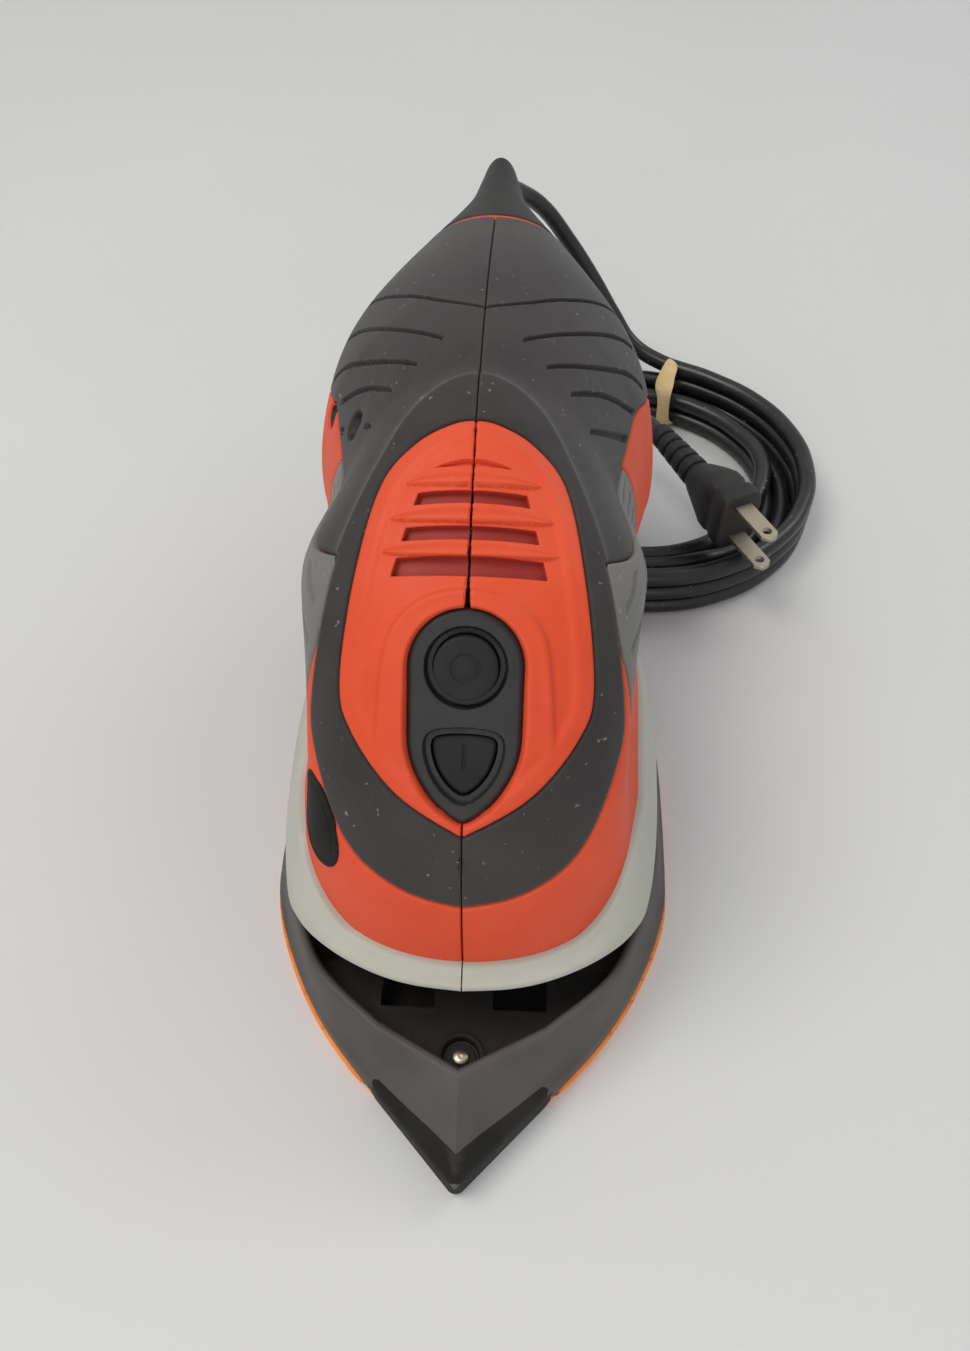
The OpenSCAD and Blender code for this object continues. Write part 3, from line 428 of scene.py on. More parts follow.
def area_light(name, place, aim, size, power, colour):
    """A round soft light at a place, turned to its aim."""
    data = bpy.data.lights.new(name, "AREA")
    data.shape = "DISK"
    data.size = size
    data.energy = power
    data.color = colour
    obj = bpy.data.objects.new(name, data)
    obj.location = place
    obj.rotation_euler = (Vector(aim) - Vector(place)).to_track_quat("-Z", "Y").to_euler()
    world_root.objects.link(obj)


def lights():
    """Even light from all round, a warm key from above and two weaker fills."""
    world = bpy.data.worlds.new("studio")
    world.use_nodes = True
    back = world.node_tree.nodes["Background"]
    back.inputs["Color"].default_value = (0.95, 0.97, 1.0, 1)
    back.inputs["Strength"].default_value = 0.58
    scene.world = world
    area_light("key", (-0.7, -0.1, 1.5), (0, 0, 0.05), 0.9, 11, (1, 0.97, 0.93))
    area_light("fill", (0.9, 0.9, 1.1), (0, 0.05, 0.05), 1.0, 9, (0.95, 0.97, 1))
    area_light("front", (-0.15, -1.2, 0.55), (0, -0.05, 0.06), 0.8, 4, (1, 0.98, 0.95))


floor()
lights()
scene.view_settings.view_transform = "Standard"


# ---- cord, coil, band and plug -------------------------------------------------------

CORD_D = 6.4
LEAD = [(0, 172, 93), (1, 179.5, 90), (6, 188, 84.5), (15, 194.5, 75.5), (25, 197, 62), (36, 197, 46),
        (46, 194, 31), (54, 189, 21.5), (64, 183, 17.5)]
PLUG_LEAD = [(11, 101.5, 10), (9.3, 112, 10), (12.5, 122.5, 11), (20, 130.5, 14), (30, 135, 18),
             (40.5, 134.5, 22.5), (50, 129.5, 27), (56.5, 121.5, 30), (60, 114, 31)]
COIL_X, COIL_Y = 53, 117
# where each turn of the coil lies: [radius, height of its centre]
TURNS = [(63.8, 16.5), (63.8, 10.0), (63.6, 3.5), (57.0, 3.5), (50.4, 3.5), (51.4, 10.0), (45.0, 9.0)]
POINTS_PER_TURN = 18


def coil_points():
    """The coil's turns, clockwise seen from above. Each turn steps over to the next place a little
    earlier round the coil than the one before it, so the strands never meet."""
    start, first, last = 81.0, 58.0, 214.0 - 360 * 6
    count = int((first - last) / 360 * POINTS_PER_TURN)
    out = []
    for k in range(count + 1):
        angle = first + (last - first) * k / count
        turns = (start - angle) / 360
        at = int(turns)
        step = float(smooth((turns - at - (0.83 - 0.13 * at)) / 0.12))
        here, there = TURNS[at], TURNS[min(at + 1, len(TURNS) - 1)]
        r = here[0] + (there[0] - here[0]) * step
        z = here[1] + (there[1] - here[1]) * step
        a = math.radians(angle)
        r += 0.5 * math.cos(2 * a + 0.6)
        out.append((COIL_X + r * math.cos(a), COIL_Y + r * math.sin(a), z))
    return out


def cord_curve(name, points, radius, material):
    """A round cord through the points."""
    data = bpy.data.curves.new(name, "CURVE")
    data.dimensions = "3D"
    data.bevel_depth = radius * MM
    data.bevel_resolution = 6
    data.resolution_u = 8
    data.use_fill_caps = True
    spline = data.splines.new("BEZIER")
    spline.bezier_points.add(len(points) - 1)
    for node, p in zip(spline.bezier_points, points):
        node.co = [c * MM for c in p]
        node.handle_left_type = "AUTO"
        node.handle_right_type = "AUTO"
    data.materials.append(material)
    obj = bpy.data.objects.new(name, data)
    world_root.objects.link(obj)
    return obj


def turned(name, profile, origin, axis, material):
    """A solid of revolution: profile is [radius, distance along the axis] from one end to the other."""
    axis = unit(axis)
    side = unit(np.cross(axis, (0.31, 0.87, 0.12)))
    other = np.cross(axis, side)
    a = round_angles(64)[:, None]
    round_it = np.cos(a) * side + np.sin(a) * other
    rings = [np.asarray(origin, float) + z * axis + max(r, 0.001) * round_it for r, z in profile]
    return loft(name, rings, material, smooth_angle=50)


GUARD_Z = 104
GUARD_SLOPE = 20


def guard():
    """Tapered strain relief with broken rings, leaning down from the tail."""
    axis = (0, math.cos(math.radians(GUARD_SLOPE)), -math.sin(math.radians(GUARD_SLOPE)))
    profile = [(3.3, -4), (4.3, -4), (4.3, 0.2), (6.2, 0.3), (6.6, 0.9), (6.5, 2.6)]
    for k in range(6):
        top = 6.3 - 0.36 * k
        low = 5.0 - 0.28 * k
        z = 3 + 5 * k
        profile += [(top, z), (low + 0.15, z + 0.5), (low, z + 0.9), (low, z + 2.0), (low + 0.15, z + 2.4),
                    (top - 0.1, z + 2.8), (top - 0.05, z + 3.4)]
    profile += [(4.2, 33.2), (3.9, 34), (3.3, 34.1)]
    profile += [(3.25, 33), (3.25, -3.9)]
    obj = turned("cord_guard_moulded", profile, (0, 141, GUARD_Z), axis, BLACK)
    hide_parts("cord_guard")
    return obj


BAND_ANGLE = 72


def band():
    """Twisted rubber band round the coil: a flat strip whose width leans a little to and fro as it goes round."""
    a = math.radians(BAND_ANGLE)
    out = np.array([math.cos(a), math.sin(a), 0])
    along = np.array([-math.sin(a), math.cos(a), 0])
    up = np.array([0, 0, 1.0])
    mid = np.array([COIL_X, COIL_Y, 0]) + 55.4 * out + 10.2 * up
    rings = []
    count = 72
    for k in range(count):
        t = 2 * math.pi * k / count
        c, s = math.cos(t), math.sin(t)
        place = mid + out * 12.6 * np.sign(c) * abs(c) ** 0.55 + up * 9.6 * np.sign(s) * abs(s) ** 0.55
        place = place + along * (1.6 * math.sin(t + 0.5))
        radial = unit(out * c * 0.8 + up * s)
        lean = 0.35 * math.sin(2 * t)
        wide = unit(along * math.cos(lean) + radial * math.sin(lean))
        thick = unit(np.cross(wide, np.cross(radial, wide)))
        width = 3.2 + 0.7 * math.cos(3 * t)
        rings.append([place + wide * width * math.cos(q) + thick * 0.75 * math.sin(q)
                      for q in round_angles(14)])
    obj = make("rubber_band", np.vstack(rings), tube_faces(count, len(rings[0])), BAND)
    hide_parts("cord_band")
    return obj


PLUG_AT = np.array([84.5, 67.5, 30.8])
PLUG_TURN = math.radians(-63)
PLUG_X = np.array([math.cos(PLUG_TURN), math.sin(PLUG_TURN), 0])
PLUG_Y = np.array([-math.sin(PLUG_TURN), math.cos(PLUG_TURN), 0])
PLUG_Z = np.array([0, 0, 1.0])


def at_plug(points):
    """Points of the plug's own frame, +X out of its face, in the shared frame."""
    return [PLUG_AT + p[0] * PLUG_X + p[1] * PLUG_Y + p[2] * PLUG_Z for p in points]


def rounded(half_y, half_z, power):
    """Rounded box section."""
    out = []
    for t in round_angles(56):
        c, s = math.cos(t), math.sin(t)
        out.append((half_y * math.copysign(abs(c) ** power, c), half_z * math.copysign(abs(s) ** power, s)))
    return out


def plug():
    """Two-blade plug: waisted grip, flat face and a segmented boot."""
    sections = [(-26, 5.4, 5.4, 1.0), (-24.6, 5.9, 6.4, 0.95), (-21, 6.4, 8.2, 0.8), (-17, 7.0, 9.8, 0.65),
                (-13.5, 7.6, 10.6, 0.5), (-10, 7.6, 10.6, 0.45), (-8.6, 7.2, 10.2, 0.45), (-7.4, 7.2, 10.2, 0.45),
                (-6, 7.8, 10.9, 0.42), (-1.2, 8.0, 11.0, 0.4), (-0.4, 7.7, 10.7, 0.42), (0, 7.0, 10.0, 0.45)]
    rings = [at_plug([(x, y, z) for y, z in rounded(hy, hz, p)]) for x, hy, hz, p in sections]
    body = loft("plug_grip", rings, BLACK, smooth_angle=40)
    profile = [(3.3, -53), (4.1, -53), (4.3, -52.4)]
    for k in range(5):
        x = -51.6 + 5.1 * k
        r = 4.3 + 0.24 * k
        profile += [(r, x), (r + 0.1, x + 2.6), (r - 0.1, x + 2.9), (r - 1.0, x + 3.1), (r - 1.0, x + 4.3),
                    (r + 0.05, x + 4.6)]
    profile += [(5.4, -26), (5.4, -25)]
    boot = turned("plug_boot", profile, PLUG_AT, PLUG_X, BLACK)
    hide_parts("plug_body")
    return [body, boot]


def plug_blades():
    """Flat blades with pierced ends and eased tips."""
    parts = []
    half_y, half_t, tip, apart, hole_r = 3.175, 0.76, 17.9, 6.35, 1.6
    for k, sz in enumerate((-apart, apart)):
        outline = [(-5.9, -half_y), (tip - 2.2, -half_y), (tip - 0.5, -half_y + 1.5), (tip, -half_y + 2.4),
                   (tip, half_y - 2.4), (tip - 0.5, half_y - 1.5), (tip - 2.2, half_y), (-5.9, half_y)]
        hole = [(14 + hole_r * math.cos(a), hole_r * math.sin(a)) for a in round_angles(24)]
        parts.append(pierced_plate(f"plug_blade_{k}", outline, hole, sz, half_t))
    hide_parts("plug_blades")
    return parts


def pierced_plate(name, outline, hole, z, half_t):
    """A flat blade in the plug's frame: outline with one hole, edges eased."""
    def ring(points, ease, level):
        mid = np.mean(points, axis=0)
        return [(*(mid + (np.array(p) - mid) * (1 - ease)), level) for p in points]

    dense = []
    for k in range(len(outline)):
        a, b = np.array(outline[k]), np.array(outline[(k + 1) % len(outline)])
        dense += [tuple(a + (b - a) * t) for t in (0, 1 / 3, 2 / 3)]
    n, m = len(dense), len(hole)
    rings = [ring(dense, 0.03, z - half_t), ring(dense, 0, z - half_t * 0.6), ring(dense, 0, z + half_t * 0.6),
             ring(dense, 0.03, z + half_t)]
    inner = [[(*h, z - half_t) for h in hole], [(*h, z + half_t) for h in hole]]
    points = at_plug([p for r in rings for p in r] + [p for r in inner for p in r])
    faces = tube_faces(4, n, closed=False)
    base = 4 * n
    faces += [(base + m + k, base + m + (k + 1) % m, base + (k + 1) % m, base + k) for k in range(m)]
    for top, at in ((False, 0), (True, 3 * n)):
        ring_at = base + (m if top else 0)
        order = zip_rings([points[at + k] for k in range(n)], [points[ring_at + k] for k in range(m)])
        for tri in order:
            tri = [at + i if kind == 0 else ring_at + i for kind, i in tri]
            faces.append(tuple(tri) if top else tuple(tri[::-1]))
    return make(name, points, faces, BLADE, smooth_angle=30)


def zip_rings(outer, inner):
    """Triangles between two loops round the same hole, matched by angle."""
    mid = np.mean(inner, axis=0)
    u = unit(np.array(inner[0]) - mid)
    w = unit(np.cross(u, np.array(inner[len(inner) // 4]) - mid))
    v = np.cross(w, u)

    def angles(loop):
        d = np.array(loop) - mid
        return np.unwrap(np.arctan2(d @ v, d @ u))

    ao, ai = angles(outer), angles(inner)
    first = int(np.argmin(np.abs(np.mod(ao + np.pi, 2 * np.pi) - np.pi)))
    ao = np.append(np.roll(np.mod(ao, 2 * np.pi), -first), 2 * np.pi)
    ao[0] = 0 if ao[0] > np.pi else ao[0]
    n, m = len(outer), len(inner)
    ai = np.append(np.mod(ai, 2 * np.pi), 2 * np.pi)
    ai[0] = 0
    i = j = 0
    out = []
    while i < n or j < m:
        if j >= m or (i < n and ao[min(i + 1, n)] <= ai[min(j + 1, m)]):
            out.append(((0, (first + i) % n), (0, (first + i + 1) % n), (1, j % m)))
            i += 1
        else:
            out.append(((0, (first + i) % n), (1, (j + 1) % m), (1, j % m)))
            j += 1
    return out


def cord():
    """The whole cord: lead, coil and the short end to the plug."""
    points = LEAD + coil_points() + PLUG_LEAD
    obj = cord_curve("mains_cord", points, CORD_D / 2, CORD)
    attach(obj, "housing")
    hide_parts("power_cord", "cord_coil")
    return obj


mains_cord = cord()
on_the_cord = [guard(), band(), *plug(), *plug_blades()]


# ---- the body's surface, as the CAD model has it -------------------------------------------------------

CREST_Y, DOME_Z, DOME_R, CREST_Z = -5, 42, 95, 137
SHOULDER_Z, HOUSING_Z, TAIL_END = 75, 38, 142
PLAN_MID = -45      # y of the middle of the base's plan
HUMP_W = curve([(-30, 37), (0, 40), (20, 44.5), (30, 47), (45, 47.5), (56, 46), (68, 41), (86, 31),
                (100, 22), (112, 15), (122, 10.5), (135, 7.5), (142, 6)], 6)
HUMP_MID = curve([(-30, 75), (30, 75), (60, 80), (86, 92), (100, 99), (122, 103), (142, 105)], 6)
HUMP_LOW = curve([(-30, 60), (30, 60), (60, 65), (86, 77), (100, 83), (122, 89), (142, 93)], 6)


def top_z(y):
    """Height of the top line."""
    front = DOME_Z + np.sqrt(np.maximum(0, DOME_R ** 2 - (y - CREST_Y) ** 2))
    rear = CREST_Z - 0.00147 * (y - CREST_Y) ** 2 + 0.0033 * np.maximum(0, y - 80) ** 2
    return np.where(y < CREST_Y, front, rear)


def dome_side(x, y, z):
    """x squared less the dome's half-width squared: zero on the dome, negative inside."""
    around = np.where(y >= CREST_Y, 90, np.degrees(np.arctan2(np.maximum(0, z - DOME_Z), CREST_Y - y)))
    radius = np.where(z > DOME_Z, np.hypot(y - CREST_Y, z - DOME_Z), CREST_Y - y)
    depth = np.where(y >= CREST_Y, top_z(y) - z, DOME_R - radius)
    round_depth = 22 + 40 * smooth((around - 55) / 33)
    d = np.minimum(1, depth / round_depth)
    cap = 1 - (1 - d) ** 2
    side = 36 + 4 * smooth((y + 65) / 40)
    low = np.maximum(0, (SHOULDER_Z - np.maximum(z, DOME_Z)) / 33)
    flare = (46 - side) * low ** 1.5 * smooth((y + 95) / 35)
    rear = np.where(y > -20, 1 - ((y + 20) / 30) ** 2, 1)
    both = np.where((cap < 0) | (rear < 0), np.minimum(cap, rear), cap * rear)
    return x ** 2 - (side + flare) ** 2 * both


def hump_side(x, y, z):
    """The same for the rear hump."""
    w = np.interp(y, HUMP_W[:, 0], HUMP_W[:, 1])
    mid = np.interp(y, HUMP_MID[:, 0], HUMP_MID[:, 1])
    low = np.interp(y, HUMP_LOW[:, 0], HUMP_LOW[:, 1])
    over = 1 - ((z - mid) / (top_z(y) - mid)) ** 2
    t = np.maximum(0, mid - z) / (mid - low)
    under = 1 - t ** 2.5
    under = np.where(under > 0, np.maximum(under, 1e-9) ** 0.6, under)
    half = w ** 2 * np.where(z >= mid, over, under)
    return x ** 2 - half + 8 * np.maximum(0, -20 - y) ** 2


def distance(side, p):
    """First-order distance to one of the surfaces above, and its outward direction."""
    e = 0.05
    x, y, z = p[:, 0], p[:, 1], p[:, 2]
    grad = np.stack([side(x + e, y, z) - side(x - e, y, z),
                     side(x, y + e, z) - side(x, y - e, z),
                     side(x, y, z + e) - side(x, y, z - e)], 1) / (2 * e)
    size = np.maximum(np.linalg.norm(grad, axis=1), 1e-6)
    return side(x, y, z) / size, grad / size[:, None]


BLEND = 2.5      # width of the fillet between dome and hump


def body_distance(p):
    """Distance to the body's surface, with a fillet between dome and hump, and its outward direction."""
    a, na = distance(dome_side, p)
    b, nb = distance(hump_side, p)
    # along the crest both have the same top line, so the fillet fades out before the dome ends
    width = BLEND * np.maximum(1 - smooth((p[:, 1] + 16) / 22), smooth((np.abs(p[:, 0]) - 5) / 12)) + 0.02
    h = np.clip(0.5 + 0.5 * (b - a) / width, 0, 1)
    d = b * (1 - h) + a * h - width * h * (1 - h)
    return d, unit(na * h[:, None] + nb * (1 - h[:, None]))


def settle(p, rounds):
    """Moves points onto the body's surface."""
    p = p.copy()
    for _ in range(rounds):
        d, n = body_distance(p)
        p -= n * np.clip(d, -1.5, 1.5)[:, None]
    return p


# ---- outlines -------------------------------------------------------

def whole(half):
    """Both sides of a shape, from its right half, which starts and ends on the centre line."""
    half = np.asarray(half, float)
    return np.vstack([half, half[-2:0:-1] * np.where(np.arange(half.shape[1]), 1, -1)])


class Outline:
    """A closed outline in a plane. inside() gives the distance to its edge, positive inside, from a
    table of samples worked out once."""

    def __init__(self, points, margin=14, pitch=0.4, fold=True):
        """fold: the outline is the right half of a shape that is symmetric about u = 0."""
        pts = whole(points) if fold else np.asarray(points, float)
        self.fold = fold
        self.pitch = pitch
        low, high = pts.min(0) - margin, pts.max(0) + margin
        if fold:
            low[0] = 0
        self.low = low
        us = np.arange(low[0], high[0] + pitch, pitch)
        vs = np.arange(low[1], high[1] + pitch, pitch)
        u, v = np.meshgrid(us, vs, indexing="ij")
        best = np.full(u.shape, 1e9)
        inside = np.zeros(u.shape, bool)
        for a, b in zip(pts, np.roll(pts, -1, axis=0)):
            e = b - a
            du, dv = u - a[0], v - a[1]
            t = np.clip((du * e[0] + dv * e[1]) / max(e @ e, 1e-12), 0, 1)
            best = np.minimum(best, (du - t * e[0]) ** 2 + (dv - t * e[1]) ** 2)
            if a[1] != b[1]:
                cross = (a[1] > v) != (b[1] > v)
                inside ^= cross & (u < a[0] + (v - a[1]) / (b[1] - a[1]) * e[0])
        self.table = np.sqrt(best) * np.where(inside, 1, -1)

    def inside(self, u, v):
        """Distance from the edge at (u, v), read between the samples."""
        u = np.abs(u) if self.fold else u
        n, m = self.table.shape
        a = np.clip((u - self.low[0]) / self.pitch, 0, n - 1.001)
        b = np.clip((v - self.low[1]) / self.pitch, 0, m - 1.001)
        i, j = a.astype(int), b.astype(int)
        fa, fb = a - i, b - j
        t = self.table
        return ((t[i, j] * (1 - fa) + t[i + 1, j] * fa) * (1 - fb)
                + (t[i, j + 1] * (1 - fa) + t[i + 1, j + 1] * fa) * fb)


def round_end(points, steps):
    """Curve through a half outline that crosses the centre line squarely at its last point."""
    last = len(points) * steps - steps
    return curve(points + [(-points[-2][0], points[-2][1])], steps)[:last + 1]


RING = Outline(round_end([(0, -25.5), (14, -21.5), (26, -11.3), (33.4, 8.5), (33.8, 22.6), (27.6, 53.7),
                          (17.5, 77.8), (9, 88), (0, 91.5)], 8))
PANEL = Outline(round_end([(0, -7.8), (14.3, 1.4), (24.2, 14.1), (27, 25), (24.1, 48.8), (20, 66.7),
                           (13, 75.5), (5.5, 79.6), (0, 80.6)], 8))
HUMP_SIDE = Outline(np.vstack([curve([(-46, 118), (-30, 109), (3, 105), (24, 105), (36, 100), (50, 92),
                                      (62, 82), (72, 66)], 6), [(130, 66), (130, 150), (-46, 150)]]), fold=False)
GRIP_SIDE = Outline(curve([(-64, 88), (-58, 106), (-46, 120), (-30, 124), (-12, 119), (3, 103), (7, 76),
                           (-16, 67), (-50, 70), (-64, 88)], 6)[:-1], fold=False)
PLATE = Outline(np.vstack([
    [(12.3 * math.cos(t), 10.5 + 12.3 * math.sin(t)) for t in np.linspace(math.pi / 2, 0, 24)],
    curve([(12.3, 8), (12.3, -3), (11.9, -7.5), (10.5, -12), (7.6, -17), (4.2, -20.6), (1.2, -22.6),
           (0, -22.9)], 4)]), pitch=0.25)
ARCH = Outline(round_end([(21, -24), (19.6, -10), (18.6, -1), (17.8, 9), (16.4, 16.5), (13.5, 21.3),
                          (8, 25.3), (0, 26.8)], 6))
SWITCH_SLOPE = math.radians(50)
SWITCH_AT = np.array([0, CREST_Y - 90.5 * math.sin(SWITCH_SLOPE), DOME_Z + 90.5 * math.cos(SWITCH_SLOPE)])
SWITCH_UP = np.array([0, math.cos(SWITCH_SLOPE), math.sin(SWITCH_SLOPE)])
SWITCH_OUT = np.array([0, -math.sin(SWITCH_SLOPE), math.cos(SWITCH_SLOPE)])
SCREWS = [(4, 114), (24, 102), (78, 92)]      # the fourth is under the label
WELL_R = 3.6
SEAM = 0.16           # half of the gap between the two halves
LEAN = math.radians(30)      # of the plane where the tail cap starts


def sloped(p):
    """Coordinates up a slope of 45 degrees and out from it, forward."""
    return (p[:, 1] + p[:, 2]) * ROOT, (p[:, 2] - p[:, 1]) * ROOT


def on_front(outline, p):
    """Distance inside an outline that is drawn on the front slope; the back of the body is left out."""
    up, out = sloped(p)
    return np.minimum(outline.inside(p[:, 0], up), out - 60)


def ring_field(p):
    """Positive inside the band of rubber round the panel."""
    return on_front(RING, p)


def panel_field(p):
    """Positive inside the front panel."""
    return on_front(PANEL, p)


def collar_field(p, back=0.0):
    """Positive in front of the slanted plane where the tail cap starts."""
    return -((p[:, 1] - 100 + back) * math.cos(LEAN) + (p[:, 2] - 110) * math.sin(LEAN))


def rubber_field(p):
    """Positive on the rubber: the band round the panel and the top of the hump."""
    field = np.maximum(ring_field(p), HUMP_SIDE.inside(p[:, 1], p[:, 2]))
    return np.minimum(np.minimum(field, -panel_field(p)), p[:, 2] - 55)


def grip_field(p):
    """Positive on the finger grip."""
    return np.minimum(GRIP_SIDE.inside(p[:, 1], p[:, 2]), -rubber_field(p))


def switch_place(p):
    """Coordinates in the switch plate's own frame."""
    q = p - SWITCH_AT
    return p[:, 0], q @ SWITCH_UP, q @ SWITCH_OUT


# ---- mesh work -------------------------------------------------------

def edges_of(tris):
    """The edges of a triangle mesh, and which of them each triangle has."""
    e = np.sort(tris[:, [0, 1, 1, 2, 2, 0]].reshape(-1, 2), axis=1)
    return np.unique(e, axis=0, return_inverse=True)


def clip(p, tris, field):
    """The part of a triangle mesh where field is positive, cut cleanly along field = 0. Points close to
    the cut are moved onto it, so no slivers are left."""
    p = p.copy()
    f = field(p)
    e, _ = edges_of(tris)
    a, b = e[:, 0], e[:, 1]
    for _ in range(2):
        crossing = f[a] * f[b] < 0
        ca, cb = a[crossing], b[crossing]
        t = f[ca] / (f[ca] - f[cb])
        for near, far, share in ((ca, cb, t), (cb, ca, 1 - t)):
            pick = share < 0.3
            idx, other, s = near[pick], far[pick], share[pick]
            keep = (f[idx] != 0) & (f[other] != 0)
            idx, other, s = idx[keep], other[keep], s[keep]
            _, first = np.unique(idx, return_index=True)
            idx, other, s = idx[first], other[first], s[first]
            p[idx] += (p[other] - p[idx]) * s[:, None]
            f[idx] = 0
    sign = np.sign(f[tris])
    keep = tris[(sign.min(1) >= 0) & (sign.max(1) > 0)]
    mixed = tris[(sign.min(1) < 0) & (sign.max(1) > 0)]
    made, points, out = {}, [p], []
    count = len(p)
    for tri in mixed:
        ring = []
        for i in range(3):
            u, v = tri[i], tri[(i + 1) % 3]
            if f[u] >= 0:
                ring.append(u)
            if f[u] * f[v] < 0:
                key = (min(u, v), max(u, v))
                if key not in made:
                    t = f[u] / (f[u] - f[v])
                    points.append((p[u] + (p[v] - p[u]) * t)[None])
                    made[key] = count
                    count += 1
                ring.append(made[key])
        for i in range(1, len(ring) - 1):
            out.append((ring[0], ring[i], ring[i + 1]))
    tris = np.vstack([keep, np.array(out, int).reshape(-1, 3)])
    return compact(np.vstack(points), tris)


def compact(p, tris):
    """The same mesh without its unused points."""
    used, index = np.unique(tris, return_inverse=True)
    return p[used], index.reshape(-1, 3)


def refine(p, tris, size, place, rounds):
    """Splits edges that are longer than size says, with each new point put on the surface by place."""
    for _ in range(rounds):
        e, at = edges_of(tris)
        mid = (p[e[:, 0]] + p[e[:, 1]]) / 2
        long = np.linalg.norm(p[e[:, 0]] - p[e[:, 1]], axis=1) > 1.35 * size(mid)
        if not long.any():
            break
        new = np.full(len(e), -1)
        new[long] = len(p) + np.arange(long.sum())
        p = np.vstack([p, place(mid[long])])
        m = new[at.reshape(-1, 3)]
        parts = []
        for code in range(8):
            rows = (m >= 0) @ np.array([1, 2, 4]) == code
            t, k = tris[rows], m[rows]
            if not len(t):
                continue
            turn = {0: 0, 1: 0, 2: 1, 4: 2, 3: 0, 6: 1, 5: 2, 7: 0}[code]
            t, k = np.roll(t, -turn, axis=1), np.roll(k, -turn, axis=1)
            a, b, c = t.T
            ab, bc, ca = k.T
            if code == 0:
                parts += [t]
            elif code in (1, 2, 4):
                parts += [np.stack([a, ab, c], 1), np.stack([ab, b, c], 1)]
            elif code == 7:
                parts += [np.stack(q, 1) for q in ((a, ab, ca), (ab, b, bc), (ca, bc, c), (ab, bc, ca))]
            else:
                parts += [np.stack(q, 1) for q in ((a, ab, c), (ab, bc, c), (ab, b, bc))]
        tris = np.vstack(parts)
    return p, tris


def rim_of(tris):
    """Directed edges that only one triangle has."""
    e = tris[:, [0, 1, 1, 2, 2, 0]].reshape(-1, 2)
    key = np.sort(e, axis=1)
    _, index, count = np.unique(key, axis=0, return_index=True, return_counts=True)
    return e[index[count == 1]]


def shell_mesh(outer, inner, tris):
    """A closed shell from an outer and an inner sheet with the same triangles."""
    n = len(outer)
    rim = rim_of(tris)
    walls = [(a, b, b + n, a + n) for a, b in rim[:, ::-1]]
    faces = tris.tolist() + (tris[:, ::-1] + n).tolist() + walls
    return np.vstack([outer, inner]), faces


def roll(d, r):
    """Drop of a rounded edge of radius r at distance d inside it."""
    t = np.clip(d, 0, r)
    return np.sqrt(np.maximum(0, r * r - (r - t) ** 2)) - r


def body_base():
    """The dome and hump as one even mesh on the exact surface."""
    def ring(side, y, zs):
        w = np.sqrt(np.maximum(0.01, -side(np.zeros_like(zs), np.full_like(zs, y), zs)))
        right = [(a, y, z) for a, z in zip(w, zs)]
        return right + [(-a, y, z) for a, z in list(zip(w, zs))[::-1]]

    points, faces = [], []
    for side, ys, low in ((dome_side, PLAN_MID - 54.8 * np.cos(np.linspace(0, np.pi, 60)), lambda y: 28.0),
                          (hump_side, np.linspace(-28, 148, 60), lambda y: np.interp(y, *HUMP_LOW.T) + 0.05)):
        rings = []
        for y in ys:
            top = float(top_z(np.array(y))) - 0.02
            bottom = float(low(y))
            share = (1 - np.cos(np.linspace(0, np.pi, 24))) / 2
            rings.append(ring(side, float(y), top - (top - bottom) * share))
        base = len(points)
        points += [q for r in rings for q in r]
        faces += [tuple(base + i for i in f) for f in loft_faces(len(rings), len(rings[0]))]
    mesh = bpy.data.meshes.new("base")
    mesh.from_pydata(points, [], faces)
    obj = bpy.data.objects.new("base", mesh)
    world_root.objects.link(obj)
    remesh = obj.modifiers.new("even", "REMESH")
    remesh.mode = "VOXEL"
    remesh.voxel_size = 1.5
    even = bpy.data.meshes.new_from_object(obj.evaluated_get(bpy.context.evaluated_depsgraph_get()))
    even.calc_loop_triangles()
    p = np.empty(len(even.vertices) * 3)
    even.vertices.foreach_get("co", p)
    tris = np.empty(len(even.loop_triangles) * 3, int)
    even.loop_triangles.foreach_get("vertices", tris)
    bpy.data.objects.remove(obj)
    bpy.data.meshes.remove(mesh)
    bpy.data.meshes.remove(even)
    return settle(p.reshape(-1, 3), 7), tris.reshape(-1, 3)


BASE_P, BASE_T = body_base()


def drop_flat(p, tris):
    """Leaves out triangles with no area."""
    a, b, c = (p[tris[:, i]] for i in range(3))
    area = np.linalg.norm(np.cross(b - a, c - a), axis=1)
    return tris[area > 1e-7]


def patch(fields, size, rounds=5, cut=None):
    """The part of the body where all fields are positive, refined, less what the field cut takes out."""
    p, tris = BASE_P, BASE_T
    for field in fields:
        p, tris = clip(p, tris, field)
    p, tris = refine(p, tris, size, lambda q: settle(q, 2), rounds)
    if cut is not None:
        p, tris = clip(p, tris, cut)
    return p, drop_flat(p, tris)


def shell(name, p, tris, height, thick, material, wall_of=None, wall_material=None):
    """A closed shell: the surface raised by height outside, and a plain inner face. The walls of the cuts
    where the field wall_of is zero take wall_material."""
    _, n = body_distance(p)
    points, faces = shell_mesh(p + n * np.broadcast_to(height, len(p))[:, None], p - n * thick, tris)
    obj = make(name, points, faces, material, smooth_angle=40)
    if wall_of is not None:
        obj.data.materials.append(wall_material)
        on_cut = np.abs(wall_of(p)) < 0.12
        walls = np.array(faces[2 * len(tris):])[:, :2]
        index = np.zeros(len(faces), int)
        index[2 * len(tris):] = on_cut[walls].all(1)
        obj.data.polygons.foreach_set("material_index", index)
    return obj


def half_field(side, gap=SEAM):
    """Positive on one side of the body, beyond the gap."""
    return lambda p: side * p[:, 0] - gap


def even_size(length):
    """The same edge length everywhere."""
    return lambda p: np.full(len(p), length)


